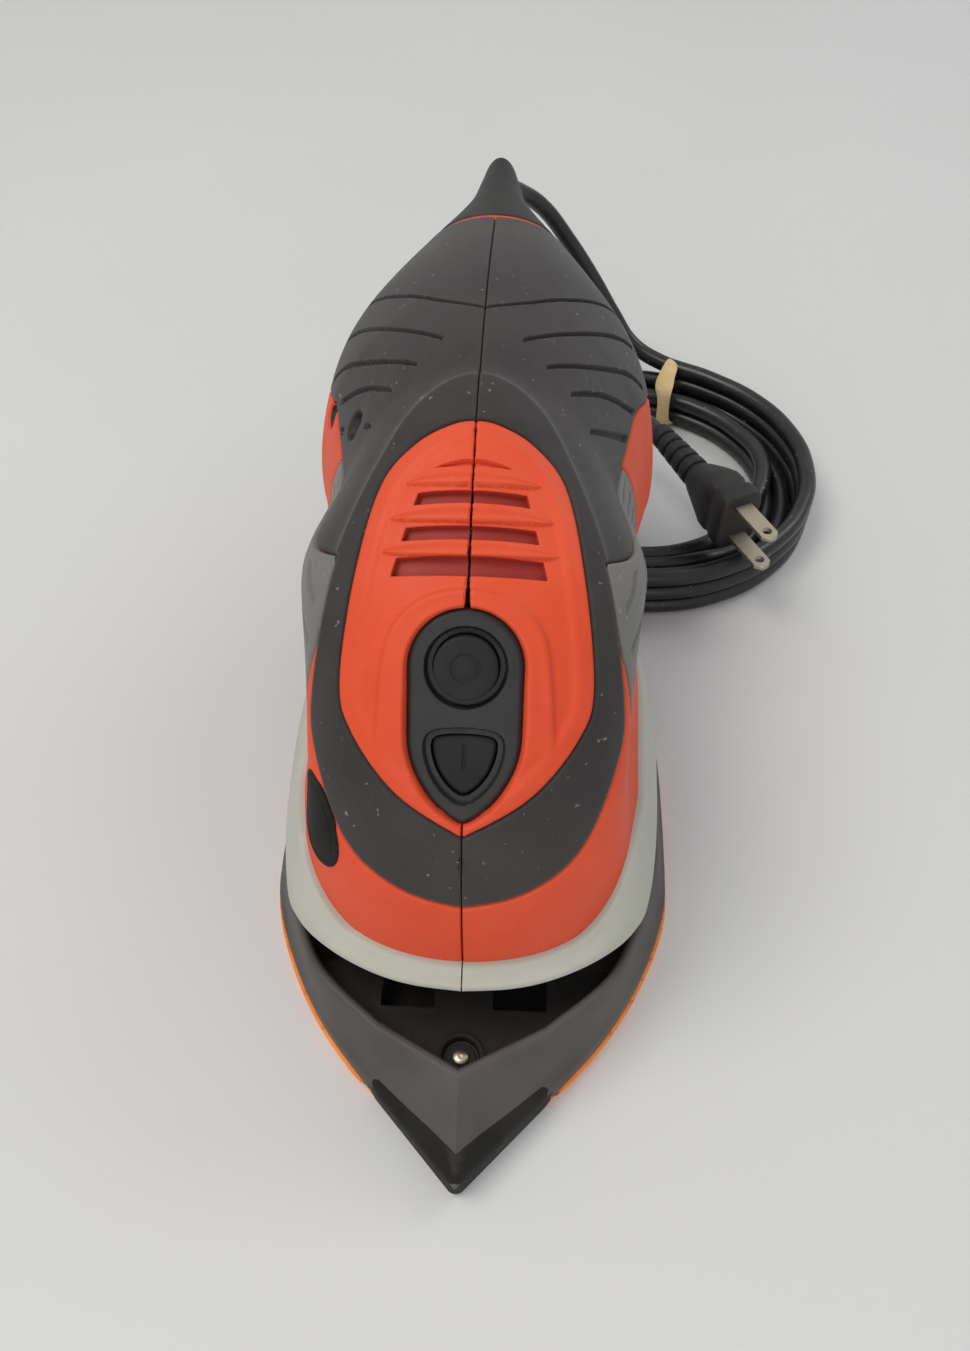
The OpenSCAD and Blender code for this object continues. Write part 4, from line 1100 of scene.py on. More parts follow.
def finer(p, base, *rules):
    """Edge lengths at the points: the base, overruled by each (where, length) in turn."""
    size = np.full(len(p), base)
    for where, length in rules:
        size = np.where(where, length, size)
    return size


# ---- orange panel -------------------------------------------------------

# vents of the panel: [angle up the dome, half-width, half-height]
SLOTS = [(68.5, 12.4, 1.45), (63.6, 14.5, 1.5), (59.2, 16.4, 2.0)]
RIBS = [(71.0, 14.3, 1.9), (66.0, 17.2, 2.0), (61.4, 18.6, 2.0)]
CRESCENT = (72.9, 8.2, 1.7)


def climb(p, angle):
    """Distance up the dome from an angle, along its curve."""
    at = np.degrees(np.arctan2(p[:, 2] - DOME_Z, CREST_Y - p[:, 1]))
    return DOME_R * np.radians(at - angle)


def slot_edge(p, row):
    """Distance inside a vent slot; its ends lean inward towards the top."""
    angle, half_w, half_h = row
    a = climb(p, angle)
    return np.minimum(half_w - 0.25 * (a + half_h) - np.abs(p[:, 0]), half_h - np.abs(a))


def slot_field(p):
    """Distance inside the nearest vent slot."""
    return np.max([slot_edge(p, row) for row in SLOTS], axis=0)


def panel_relief(p, side):
    """Height of the panel's relief, in mm."""
    x = np.abs(p[:, 0])
    edge = panel_field(p)
    h = roll(edge, 1.1)
    # the middle lies lower than the border, and the arch round the switch is proud again
    in_field = smooth((edge - 3.2) / 2.2)
    h -= 0.75 * in_field
    sx, sy, _ = switch_place(p)
    arch = ARCH.inside(sx, sy)
    fade = smooth((sy + 16) / 14)
    h += (0.75 * smooth(arch / 1.6 + 0.5) + 0.25 * np.exp(-((arch - 1.0) / 0.9) ** 2)) * fade * in_field
    for angle, half_w, half_h in RIBS:
        a = climb(p, angle)
        taper = np.sqrt(np.clip(1 - (x / half_w) ** 2, 0, 1))
        # q runs from the rib's soft top, 0, to its crisp lower edge, 1
        q = np.clip((1 - a / (half_h * np.maximum(taper, 0.05))) / 2, 0, 1)
        lump = smooth(q / 0.75) * np.sqrt(np.clip((1 - q) / 0.16, 0, 1))
        h += 1.3 * lump * taper ** 0.7
    angle, half_w, rise = CRESCENT
    a = climb(p, angle)
    arc = rise * (1 - (x / half_w) ** 2)
    inside = np.minimum(a, arc - a)
    h -= 1.3 * smooth(inside / 0.35 + 0.3)
    h += roll(-slot_field(p), 0.3) * 0.8
    plate = PLATE.inside(sx, sy)
    h += roll(-plate - 0.35, 0.7)
    h += roll(side * p[:, 0] - panel_seam(p), 0.5)
    return h


def panel_seam(p):
    """Half-width of the gap between the two halves of the panel; it widens towards the switch."""
    _, sy, _ = switch_place(p)
    rows = 0.07 * np.sin(p[:, 1] * 1.7) + 0.05 * np.sin(p[:, 1] * 4.1)
    return 0.2 + 0.2 * smooth((46 - sy) / 22) * (sy > 0) + rows * (sy > 24) + 0.25 * smooth((27 - sy) / 5) * (sy > 0)


def panel_size(p):
    """Edge length wanted on the panel: fine where the relief turns quickly."""
    x = np.abs(p[:, 0])
    sx, sy, _ = switch_place(p)
    ribs = [((np.abs(climb(p, angle)) < half_h + 0.5) & (x < half_w + 1), 0.4) for angle, half_w, half_h in RIBS]
    angle, half_w, rise = CRESCENT
    a = climb(p, angle)
    return finer(p, 0.75, (panel_field(p) < 1.4, 0.35), (x < 1.0, 0.35), (np.abs(PLATE.inside(sx, sy)) < 1.3, 0.3),
                 ((np.abs(ARCH.inside(sx, sy)) < 2) & (sy > -16), 0.5), *ribs, (np.abs(slot_field(p)) < 0.7, 0.3),
                 ((a > -0.5) & (a < rise + 0.5) & (x < half_w + 1), 0.22))


def plate_out(p):
    """Positive outside the switch plate."""
    sx, sy, _ = switch_place(p)
    return -PLATE.inside(sx, sy) - 0.35


def panels():
    """The front panel's two halves, and the plates behind its vents; the plates and the vents' walls are a darker
    orange, painted shade inside the slots.
    """
    parts = []
    for side in (-1, 1):
        fields = [lambda q, s=side: s * q[:, 0] - panel_seam(q), lambda q: panel_field(q) - 0.12, plate_out]
        p, tris = patch(fields, panel_size, cut=lambda q: -slot_field(q))
        # the walls of the vent slots take the darker orange: painted shade
        parts.append(shell("front_panel_" + SIDE_NAME[side], p, tris, panel_relief(p, side), 3.4, ORANGE,
                           wall_of=slot_field, wall_material=ORANGE_PAINTED_SHADE))
        p, tris = patch([half_field(side, 0.3), lambda q: slot_field(q) + 0.8], even_size(0.9), 2)
        parts.append(shell("vent_back_" + SIDE_NAME[side], p, tris, -2.7, 3.6, ORANGE_PAINTED_SHADE))
    return parts


# ---- rubber -------------------------------------------------------

# grooves over the hump: |x| where it starts, then its line as (|x|, y)
GROOVES = [
    (0, [(0, 22.3), (10, 27.6), (19, 36.7), (27, 47), (36, 60)]),
    (9.5, [(9.5, 10.2), (17, 18), (27, 30), (39, 49)]),
    (15.5, [(15, 3.5), (24.5, 14), (33, 25), (42, 38)]),
    (21.5, [(21, 0), (29, 10.8), (36.8, 20), (44, 30)]),
    (26.5, [(25, -7), (32, 4), (38, 14), (45, 25)]),
    (34, [(33, -7), (40, 3), (46, 12)]),
]
GROOVE_LINES = [(start, curve(points, 8)) for start, points in GROOVES]


def groove_depth(p):
    """How deep the grooves over the hump are, 0 to 1."""
    x = np.abs(p[:, 0])
    depth = np.zeros(len(p))
    for start, line in GROOVE_LINES:
        y = np.interp(x, line[:, 0], line[:, 1])
        slope = np.interp(x, line[:, 0], np.gradient(line[:, 1], line[:, 0]))
        across = np.abs(p[:, 1] - y) / np.sqrt(1 + slope ** 2)
        ends = smooth((x - start + 0.6) / 1.4) if start else 1
        depth = np.maximum(depth, smooth((0.62 - across) / 0.3) * ends * (x < line[-1, 0]))
    clear = np.where(p[:, 0] < 0, smooth((screw_hole(p, -1) - 3.5) / 2), 1)
    return depth * smooth((rubber_field(p) - 1.2) / 0.8) * clear * (p[:, 1] > -22)


def near_groove(p):
    """Whether a point is close to one of the grooves."""
    x = np.abs(p[:, 0])
    near = np.zeros(len(p), bool)
    for start, line in GROOVE_LINES:
        y = np.interp(x, line[:, 0], line[:, 1])
        near |= (np.abs(p[:, 1] - y) < 2.2) & (x > start - 1.5) & (x < line[-1, 0])
    return near & (p[:, 1] > -22)


def screw_hole(p, side, grow=0.0):
    """Positive away from the screw holes; only the left half has them."""
    gap = np.full(len(p), 50.0)
    if side < 0:
        for y, z in SCREWS:
            gap = np.minimum(gap, np.hypot(p[:, 1] - y, p[:, 2] - z) - WELL_R - grow)
    return gap


def rubber_relief(p, side):
    """Height of the rubber's relief, in mm."""
    h = roll(rubber_field(p) - 0.1, 0.8)
    h += roll(side * p[:, 0] - SEAM, 0.4)
    # the band round the panel ends in a soft ridge, with a shallow valley behind it
    up, out = sloped(p)
    away = -RING.inside(p[:, 0], up)
    behind = smooth((p[:, 2] - 80) / 20) * smooth((out - 66) / 14)
    h -= 1.3 * np.where(away > 0, away / 4 * np.exp(1 - away / 4), 0) * behind
    h += 0.35 * np.exp(-(away / 1.6) ** 2) * behind
    h += roll(screw_hole(p, side), 0.8)
    return h - 1.15 * groove_depth(p)


def rubber_size(p):
    """Edge length wanted on the rubber."""
    return finer(p, 1.0, (near_groove(p), 0.32), (rubber_field(p) < 1.1, 0.4), (np.abs(p[:, 0]) < 0.9, 0.35),
                 (np.abs(ring_field(p)) < 3, 0.6), (screw_hole(p, -1) < 1.2, 0.4))


def rubbers():
    """The rubber's two halves."""
    for side in (-1, 1):
        fields = [half_field(side), lambda q: rubber_field(q) - 0.1, lambda q: collar_field(q, 2.5),
                  lambda q, s=side: screw_hole(q, s)]
        p, tris = patch(fields, rubber_size)
        piece = shell("rubber_" + SIDE_NAME[side], p, tris, rubber_relief(p, side), 2.0, RUBBER)
        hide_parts("overmold_" + SIDE_NAME[side])


# ---- orange sides -------------------------------------------------------

def side_edge(p):
    """Distance inside the orange sides' border with the rubber and the grips."""
    return np.minimum(-rubber_field(p), -grip_field(p))


def side_relief(p, side):
    """Height of the orange sides' relief, in mm."""
    h = roll(np.minimum(side_edge(p), collar_field(p)) - 0.12, 0.9)
    h += roll(side * p[:, 0] - SEAM, 0.5)
    h += roll(screw_hole(p, side), 0.5)
    return h


def side_size(p):
    """Edge length wanted on the orange sides."""
    return finer(p, 1.2, (side_edge(p) < 1.1, 0.4), (np.abs(p[:, 0]) < 0.9, 0.4), (screw_hole(p, -1) < 1.0, 0.4))


def sides():
    """The orange sides' two halves, each over a plain inner layer that closes the gaps."""
    for side in (-1, 1):
        fields = [half_field(side), lambda q: -rubber_field(q) - 0.1, lambda q: -panel_field(q) - 0.1,
                  lambda q: -grip_field(q) - 0.12, lambda q: q[:, 2] - HOUSING_Z, collar_field,
                  lambda q, s=side: screw_hole(q, s)]
        p, tris = patch(fields, side_size)
        piece = shell("housing_" + SIDE_NAME[side] + "_moulded", p, tris, side_relief(p, side), 2.6, ORANGE)
        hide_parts("housing_" + SIDE_NAME[side])
        low = [half_field(side), lambda q: np.minimum(rubber_field(q) + 2.5, -panel_field(q) + 2.5),
               lambda q: collar_field(q, 0.5), lambda q, s=side: screw_hole(q, s, 0.2)]
        p, tris = patch(low, even_size(2.5), 1)
        under = shell("housing_" + SIDE_NAME[side] + "_under", p, tris, -2.15, 3.6, ORANGE)


# ---- finger grips -------------------------------------------------------

def grip_relief(p):
    """Height of the grips' relief, in mm: seven grooves that rise a little to the rear."""
    h = roll(grip_field(p) - 0.12, 0.7)
    for k in range(7):
        z = 71 + 7 * k + math.tan(math.radians(8)) * (p[:, 1] + 30)
        d = np.abs(p[:, 2] - z)
        h -= 0.75 * smooth((0.95 - d) / 0.5) * smooth((grip_field(p) - 2.2) / 1.0)
    return h


def grips():
    """The two finger grips."""
    for side in (-1, 1):
        fields = [half_field(side), lambda q: grip_field(q) - 0.12]
        p, tris = patch(fields, lambda q: np.where(grip_field(q) < 1, 0.35, 0.45))
        piece = shell("finger_grip_" + SIDE_NAME[side], p, tris, grip_relief(p), 1.9, GRIP)
        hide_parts("grip_" + SIDE_NAME[side])


for part in panels():
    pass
rubbers()
sides()
grips()


# ---- screw wells, label and tail cap -------------------------------------------------------

def half_width(y, z):
    """Half-width of the body at a height."""
    y, z = np.asarray(y, float), np.asarray(z, float)
    zero = np.zeros_like(z)
    return np.sqrt(np.maximum(0.01, -np.minimum(dome_side(zero, y, z), hump_side(zero, y, z))))


def wells():
    """Dark wells from the left side's surface down to the screw heads."""
    count, deep, inner, outer = 40, 9, WELL_R + 0.02, 4.4
    turn = round_angles(count)
    for index, (y, z) in enumerate(SCREWS):
        rings = []
        for radius, sink in ((inner, 0.7), (inner, deep), (outer, deep), (outer, 1.2)):
            py, pz = y + radius * np.cos(turn), z + radius * np.sin(turn)
            x = -half_width(py, pz) + sink
            if sink == deep:
                x = np.full(count, x.min())
            rings.append(np.stack([x, py, pz], 1))
        well = make("screw_well_%d" % (index + 1), np.vstack(rings), tube_faces(4, count), BLACK)


def label():
    """The blank oval plate on the left side."""
    lean = math.radians(62)

    def oval(p):
        dy, dz = p[:, 1] + 81, p[:, 2] - 70
        along = dy * math.cos(lean) + dz * math.sin(lean)
        across = dz * math.cos(lean) - dy * math.sin(lean)
        return (1 - np.hypot(along / 12, across / 6)) * 6

    p, tris = patch([lambda q: -q[:, 0] - 5, oval], lambda q: np.where(oval(q) < 1.2, 0.3, 0.6))
    h = 0.35 + roll(oval(p), 0.3) - 0.15 * smooth((1.3 - oval(p)) / 0.2) * smooth((oval(p) - 0.7) / 0.2)
    plate = shell("side_label_plate", p, tris, h, 0.3, TIP)
    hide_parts("side_label")


def louvre_depth(p):
    """How deep the tail cap's louvres are, 0 to 1."""
    depth = np.zeros(len(p))
    for k in range(6):
        dy, dz = p[:, 1] - 105 - 5.2 * k, p[:, 2] - 109 + k
        across = np.abs(dy * math.cos(LEAN) + dz * math.sin(LEAN))
        along = np.abs(dz * math.cos(LEAN) - dy * math.sin(LEAN))
        inside = np.minimum(np.minimum(1.15 - across, 9 - along), np.abs(p[:, 0]) - 4)
        depth = np.maximum(depth, smooth(inside / 0.4 + 0.2))
    return depth


def tail_section(y, inset=0.0):
    """Cross-section of the tail at y, shrunk by inset."""
    low, top = float(np.interp(y, *HUMP_LOW.T)) + 0.05, float(top_z(np.array(y))) - 0.02
    share = (1 - np.cos(np.linspace(0, np.pi, 20))) / 2
    z = top - (top - low) * share
    w = half_width(np.full_like(z, y), z)
    section = np.vstack([np.stack([w, z], 1), np.stack([-w, z], 1)[::-1]])
    centre = np.array([0, (top + low) / 2])
    reach_out = np.linalg.norm(section - centre, axis=1, keepdims=True)
    section = centre + (section - centre) * (1 - inset / np.maximum(reach_out, 1e-6))
    return np.stack([section[:, 0], np.full(len(section), float(y)), section[:, 1]], 1)


def tail():
    """The louvred tail cap, its flat end and the thin orange line before it."""
    cap_end = TAIL_END - 0.8
    fields = [lambda q: -collar_field(q) - 0.2, lambda q: cap_end - q[:, 1]]
    p, tris = patch(fields, lambda q: np.where(-collar_field(q) < 1.4, 0.4, 0.55), 3)
    h = roll(-collar_field(p) - 0.2, 0.7) - 1.9 * louvre_depth(p)
    cap = shell("tail_cap_moulded", p, tris, h, 2.4, BLACK)
    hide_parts("tail_cap")
    rings = [tail_section(cap_end - 0.4, 0.5), tail_section(cap_end),
             tail_section(TAIL_END - 0.4, 0.15), tail_section(TAIL_END - 0.05, 0.8)]
    end = loft("tail_end", rings, BLACK)
    fields = [collar_field, lambda q: 3.1 - collar_field(q), lambda q: rubber_field(q) + 3]
    p, tris = patch(fields, even_size(0.8), 2)
    line = shell("collar_line", p, tris, -0.35, 2.2, ORANGE)


# ---- switch -------------------------------------------------------

OFF_Y, ON_Y, STEM_Y, ROCKER_Z = 10.5, -9.7, 9, -10.5
OFF_R = 6.8


def flat_sheet(low, high, step):
    """Triangles over a rectangle in the plane z = 0."""
    us = np.arange(low[0], high[0] + step, step)
    vs = np.arange(low[1], high[1] + step, step)
    u, v = np.meshgrid(us, vs, indexing="ij")
    p = np.stack([u.ravel(), v.ravel(), np.zeros(u.size)], 1)
    n = len(vs)
    i, j = np.meshgrid(np.arange(len(us) - 1), np.arange(n - 1), indexing="ij")
    a = (i * n + j).ravel()
    return p, np.vstack([np.stack([a, a + n, a + n + 1], 1), np.stack([a, a + n + 1, a + 1], 1)])


def cut_sheet(bounds, step, fields, size):
    """A flat sheet cut to where all fields are positive, and refined."""
    p, tris = flat_sheet(*bounds, step)
    for field in fields:
        p, tris = clip(p, tris, field)
    p, tris = refine(p, tris, size, lambda q: q, 3)
    return p, drop_flat(p, tris)


def plane_piece(name, bounds, step, fields, size, height, floor_at, to_world, material, body="housing"):
    """A closed piece cut from a flat sheet: its top follows height, its underside is flat."""
    p, tris = cut_sheet(bounds, step, fields, size)
    outer, inner = p.copy(), p.copy()
    outer[:, 2] = height(p)
    inner[:, 2] = floor_at
    points, faces = shell_mesh(outer, inner, tris)
    return make(name, to_world(points), faces, material, body, 40)


def switch_world(q):
    """Points of the switch plate's own frame in the shared frame."""
    return SWITCH_AT + q[:, :1] * np.array([1, 0, 0]) + q[:, 1:2] * SWITCH_UP + q[:, 2:] * SWITCH_OUT


# the shield-shaped button, right half, about its own centre
SHIELD = Outline(round_end([(0, 5.9), (3, 5.8), (5.7, 5.3), (6.7, 4.2), (6.5, 1.5), (5.4, -1.8), (3.4, -4.8),
                            (1.2, -6.7), (0, -7.1)], 5), pitch=0.2, margin=8)


def off_distance(p):
    """Distance from the round button's middle."""
    return np.hypot(p[:, 0], p[:, 1] - OFF_Y)


def shield_inside(p):
    """Distance inside the shield-shaped button's outline."""
    return SHIELD.inside(p[:, 0], p[:, 1] - ON_Y)


def plate_height(p):
    """Height of the switch plate, with its dished seats for the two buttons."""
    edge = PLATE.inside(p[:, 0], p[:, 1]) - 0.1
    h = 0.9 + roll(edge, 1.5)
    r = off_distance(p)
    h -= 2.0 * smooth((8.7 - r) / 0.7)
    h -= 1.5 * smooth((shield_inside(p) + 1.9) / 0.6)
    return h


def plate_size(p):
    """Edge length wanted on the switch plate."""
    return finer(p, 0.8, (PLATE.inside(p[:, 0], p[:, 1]) < 1.8, 0.35),
                 (np.abs(off_distance(p) - 8.4) < 0.7, 0.3), (np.abs(shield_inside(p) + 1.6) < 0.7, 0.3))


def button_stem(low, high, y):
    """Points and faces of the round stem under a button, down to the rocker."""
    points, faces = turned_solid([(0.05, low), (2, low), (2, high), (0.05, high)], 24)
    return points + (0, y, 0), faces


def switch():
    """The plate with its two buttons: the round one stands proud, the shield-shaped one is sunk."""
    bezel = plane_piece("switch_plate", ((-14, -25), (14, 25)), 0.9,
                        [lambda q: PLATE.inside(q[:, 0], q[:, 1]) - 0.1,
                         lambda q: off_distance(q) - OFF_R - 0.25,
                         lambda q: -shield_inside(q) - 0.3],
                        plate_size, plate_height, -3.0, switch_world, BLACK)
    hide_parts("switch_bezel")

    profile = [(0.05, -4.4), (OFF_R - 0.1, -4.4), (OFF_R - 0.1, 1.45), (OFF_R - 0.16, 1.8), (OFF_R - 0.4, 2.06),
               (OFF_R - 0.75, 2.18), (3.5, 2.2), (3.15, 2.12), (2.95, 1.9), (2.65, 1.86), (2.4, 1.95), (2.2, 2.05),
               (1.5, 2.07), (0.8, 2.08), (0.05, 2.08)]
    points, faces = turned_solid(profile, 72)
    stem, stem_faces = button_stem(ROCKER_Z + 1.6, -4.3, STEM_Y - OFF_Y)
    base = len(points)
    points = np.vstack([points, stem]) + (0, OFF_Y, 0)
    button = make("round_button", switch_world(points),
                  faces + [tuple(base + i for i in f) for f in stem_faces], BUTTON, "off_button", 30)
    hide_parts("off_button")

    def shield_height(p):
        groove = smooth((0.45 - np.abs(p[:, 0])) / 0.3) * smooth((3.2 - np.abs(p[:, 1] - ON_Y - 1)) / 0.8)
        return -1.0 + roll(shield_inside(p), 0.9) - 0.3 * groove

    shield = plane_piece("shield_button", ((-8, -18.5), (8, -2)), 0.6, [shield_inside],
                         lambda q: np.where(shield_inside(q) < 1.1, 0.22, 0.35), shield_height, -5.4,
                         switch_world, BUTTON, "on_button")
    stem, stem_faces = button_stem(ROCKER_Z - 0.6, -5.5, -STEM_Y)
    stem = make("shield_stem", switch_world(stem), stem_faces, BUTTON, "on_button")
    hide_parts("on_button")


# ---- shroud -------------------------------------------------------

SHROUD_LINE = curve([(0, -104.8), (11, -103.8), (20, -101.5), (29, -97.4), (36.5, -92.3), (41, -87.4),
                     (43.8, -82), (46.3, -70), (48, -52), (48.3, -26), (44, -8), (30, 5), (14, 11), (0, 12)], 10)
SHROUD_TOP = curve([(-106, 40), (-99, 40.5), (-96, 42), (-90, 49.5), (-85, 55), (-79, 56.5), (-68, 55),
                    (-56, 53), (-26, 56), (12, 58)], 6)
SHROUD_FOOT = 36.0
OUT = 0.7         # how far the moulded shroud stands proud of the plain one


def shroud_place(q, z, inset=0.0):
    """Points of the shroud's surface above the plan points q, moved inward by inset."""
    grow = 1 - 0.03 * np.maximum(0, (z - SHROUD_FOOT) / 6.5 - 0.4)
    along = np.gradient(q, axis=0)
    inward = unit(np.stack([-along[:, 1], along[:, 0]], 1))
    inward[0] = (0, 1)
    inward[-1] = (0, -1)
    q = q + inward * np.asarray(inset).reshape(-1, 1)
    return np.stack([q[:, 0] * grow, (q[:, 1] - PLAN_MID) * grow + PLAN_MID, z], 1), inward


def level(directions):
    """Directions in the plan as level directions in space."""
    return np.hstack([directions, np.zeros((len(directions), 1))])


def reach(p, inward, limit):
    """How far inward of each point the inside of the body starts, up to limit."""
    out = np.full(len(p), float(limit))
    for t in np.arange(0, limit, 0.2)[::-1]:
        q = p + level(inward) * t
        inside = np.minimum(dome_side(*q.T), hump_side(*q.T)) < 0
        out = np.where(inside, t + 0.5, out)
    return np.minimum(out, limit)


def shroud_rings(q, top, low):
    """The lines that run along the shroud's section, from its lower lip round to its inside."""
    span = np.maximum(top - low, 3)
    radius = np.minimum(1.2, span * 0.3)
    rim, inward = shroud_place(q, top, -OUT)
    lean = 0.8 * np.maximum(0, reach(rim, inward, 9) - 2)       # the band leans in to the housing
    rings = []
    for share in (0, 0.35, 0.7, 1):            # rounded lower lip
        t = 1 - share
        rings.append(shroud_place(q, low + radius * (1 - np.sqrt(1 - t * t)), radius * t * t * 0.6 - OUT)[0])
    for share in (0.25, 0.5, 0.75):
        z = low + radius + (span - 2 * radius) * share
        belly = 0.25 * math.sin(math.pi * share)
        rings.append(shroud_place(q, z, lean * share ** 1.6 - belly - OUT)[0])
    for angle in (0, 25, 50, 70, 90):            # rolled upper edge
        a = math.radians(angle)
        ring, inward = shroud_place(q, top - radius + radius * math.sin(a),
                                    lean + radius * (1 - math.cos(a)) - OUT)
        rings.append(ring)
    gap = reach(rings[-1], inward, 9)
    for drop in (0.0, 1.6):
        base = shroud_place(q, top - drop, lean + radius - OUT)[0]
        rings.append(base + level(inward) * gap[:, None])
    return rings + [shroud_place(q, top - 1.8, lean + 2.3)[0], shroud_place(q, low + 1.2, 2.3)[0]]


def shrouds():
    """The shroud's two halves, and the orange lip of the housing below them."""
    q = SHROUD_LINE[np.r_[True, np.linalg.norm(np.diff(SHROUD_LINE, axis=0), axis=1) > 1e-6]]
    top = np.interp(q[:, 1], *SHROUD_TOP.T)
    right = np.array(shroud_rings(q, top, np.full(len(q), SHROUD_FOOT)))     # section first, then along the plan
    right[:, 0, 0] = right[:, -1, 0] = SEAM
    right[:, :, 0] = np.maximum(right[:, :, 0], SEAM)
    for side in (-1, 1):
        sections = [right[:, k] * (side, 1, 1) for k in range(len(q))][::side]
        piece = loft("shroud_" + SIDE_NAME[side] + "_moulded", sections, GREY, smooth_angle=50)
        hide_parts("shroud_" + SIDE_NAME[side])
    rows = [whole(shroud_place(q, np.full(len(q), z), inset)[0])
            for inset, z in ((0.9, 36.6), (0.6, 35.9), (0.75, 35.2), (1.3, 34.9), (2.2, 34.9), (2.2, 36.6))]
    lip = make("housing_lip", np.vstack(rows), tube_faces(len(rows), len(rows[0])), ORANGE, smooth_angle=50)


# ---- platen: skirt, nose floor, tip and pad -------------------------------------------------------

def half_plan(points, steps=9):
    """Half plan of the base: straight from its pointed first point, curved for the rest."""
    rest = round_end(points[1:], steps)
    first = np.array(points[0], float)
    straight = [first + (rest[0] - first) * t for t in np.linspace(0, 1, 9)[:-1]]
    return np.vstack([straight, rest])


PLATE_TOP, SHOE_Z, PAD_T = 9, 1.2, 4
TIP_END, TIP_Y, TIP_HALF = -142, -118, 23       # front and back of the tip, and half its width at the back
NOSE_Z, NOSE_Y, NOSE_SCREW_Y = 18, -93, -114
BASE_PLAN = whole(half_plan([(0, TIP_END), (TIP_HALF, TIP_Y), (35.5, -104), (45, -89), (52, -72), (54, -56),
                             (54, -16), (50, -2), (40, 6), (20, 9), (0, 9.5)]))
RIDGE_PLAN = whole(half_plan([(0, -123), (20.5, -112), (36, -98.5), (43.5, -84), (47.5, -70), (49.5, -56),
                              (49.5, -16), (46, -4), (37, 3), (19, 5.5), (0, 6)]))


def mix_plan(t, grow=1.0, shift=0.0):
    """Plan of the skirt at share t of the way up, scaled about its middle."""
    q = BASE_PLAN * (1 - t) + RIDGE_PLAN * t
    return np.stack([q[:, 0] * grow, (q[:, 1] - PLAN_MID) * (grow + shift) + PLAN_MID], 1)


def at_height(q, z):
    """A plan's points at a height."""
    return np.hstack([q, np.full((len(q), 1), float(z))])


def skirt():
    """The platen's sloped skirt, and the floor between its walls at the nose."""
    rows = [at_height(mix_plan(0.01), PLATE_TOP + 0.05), at_height(mix_plan(0.13), PLATE_TOP + 1.4),
            at_height(mix_plan(0.28), PLATE_TOP + 3), at_height(mix_plan(0.52), 17.6),
            at_height(mix_plan(0.76), 22.8)]
    for grow, z in ((1.0, 27.2), (0.997, 27.7), (0.991, 27.95), (0.982, 28.0), (0.973, 27.8)):
        rows.append(at_height(mix_plan(1.0 if grow < 1 else 0.965, grow, 0.002 if grow < 1 else 0), z))
    for t, grow, z in ((1.0, 0.962, 27.0), (0.75, 0.955, 21), (0.5, 0.955, 14), (0.25, 0.965, PLATE_TOP + 0.05)):
        rows.append(at_height(mix_plan(t, grow, 0.004), z))
    piece = make("platen_skirt_moulded", np.vstack(rows), tube_faces(len(rows), len(rows[0])), PLATEN,
                 "platen", 28)
    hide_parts("platen_skirt")

    inner = Outline(mix_plan(0.62, 0.962, 0.004)[:len(BASE_PLAN) // 2 + 1])

    def cavity(p):
        return np.minimum(6.5 - np.abs(np.abs(p[:, 0]) - 14), 7 - np.abs(p[:, 1] + 95))

    def recess(p):
        return 4.5 - np.hypot(p[:, 0], p[:, 1] - NOSE_SCREW_Y)

    def floor_height(p):
        h = NOSE_Z + 0.9 * smooth((p[:, 1] + 104) / 8) * (np.abs(p[:, 0]) < 7.2)
        h = h - 7.4 * smooth(cavity(p) / 0.5 + 0.2)
        h = h - 2.4 * smooth(recess(p) / 0.5 + 0.2)
        return h + 0.35 * np.exp(-((recess(p) + 0.8) / 0.5) ** 2)

    def floor_size(p):
        return finer(p, 1.2, (np.abs(cavity(p)) < 0.8, 0.3), (np.abs(recess(p)) < 1.6, 0.3))

    nose = plane_piece("nose_floor", ((-46, -125), (46, -88)), 1.4,
                       [lambda q: inner.inside(q[:, 0], q[:, 1]) + 0.4, lambda q: NOSE_Y + 2 - q[:, 1],
                        lambda q: np.hypot(q[:, 0], q[:, 1] - NOSE_SCREW_Y) - 1.7],
                       floor_size, floor_height, PLATE_TOP + 0.1, lambda q: q, NOSE, "platen")


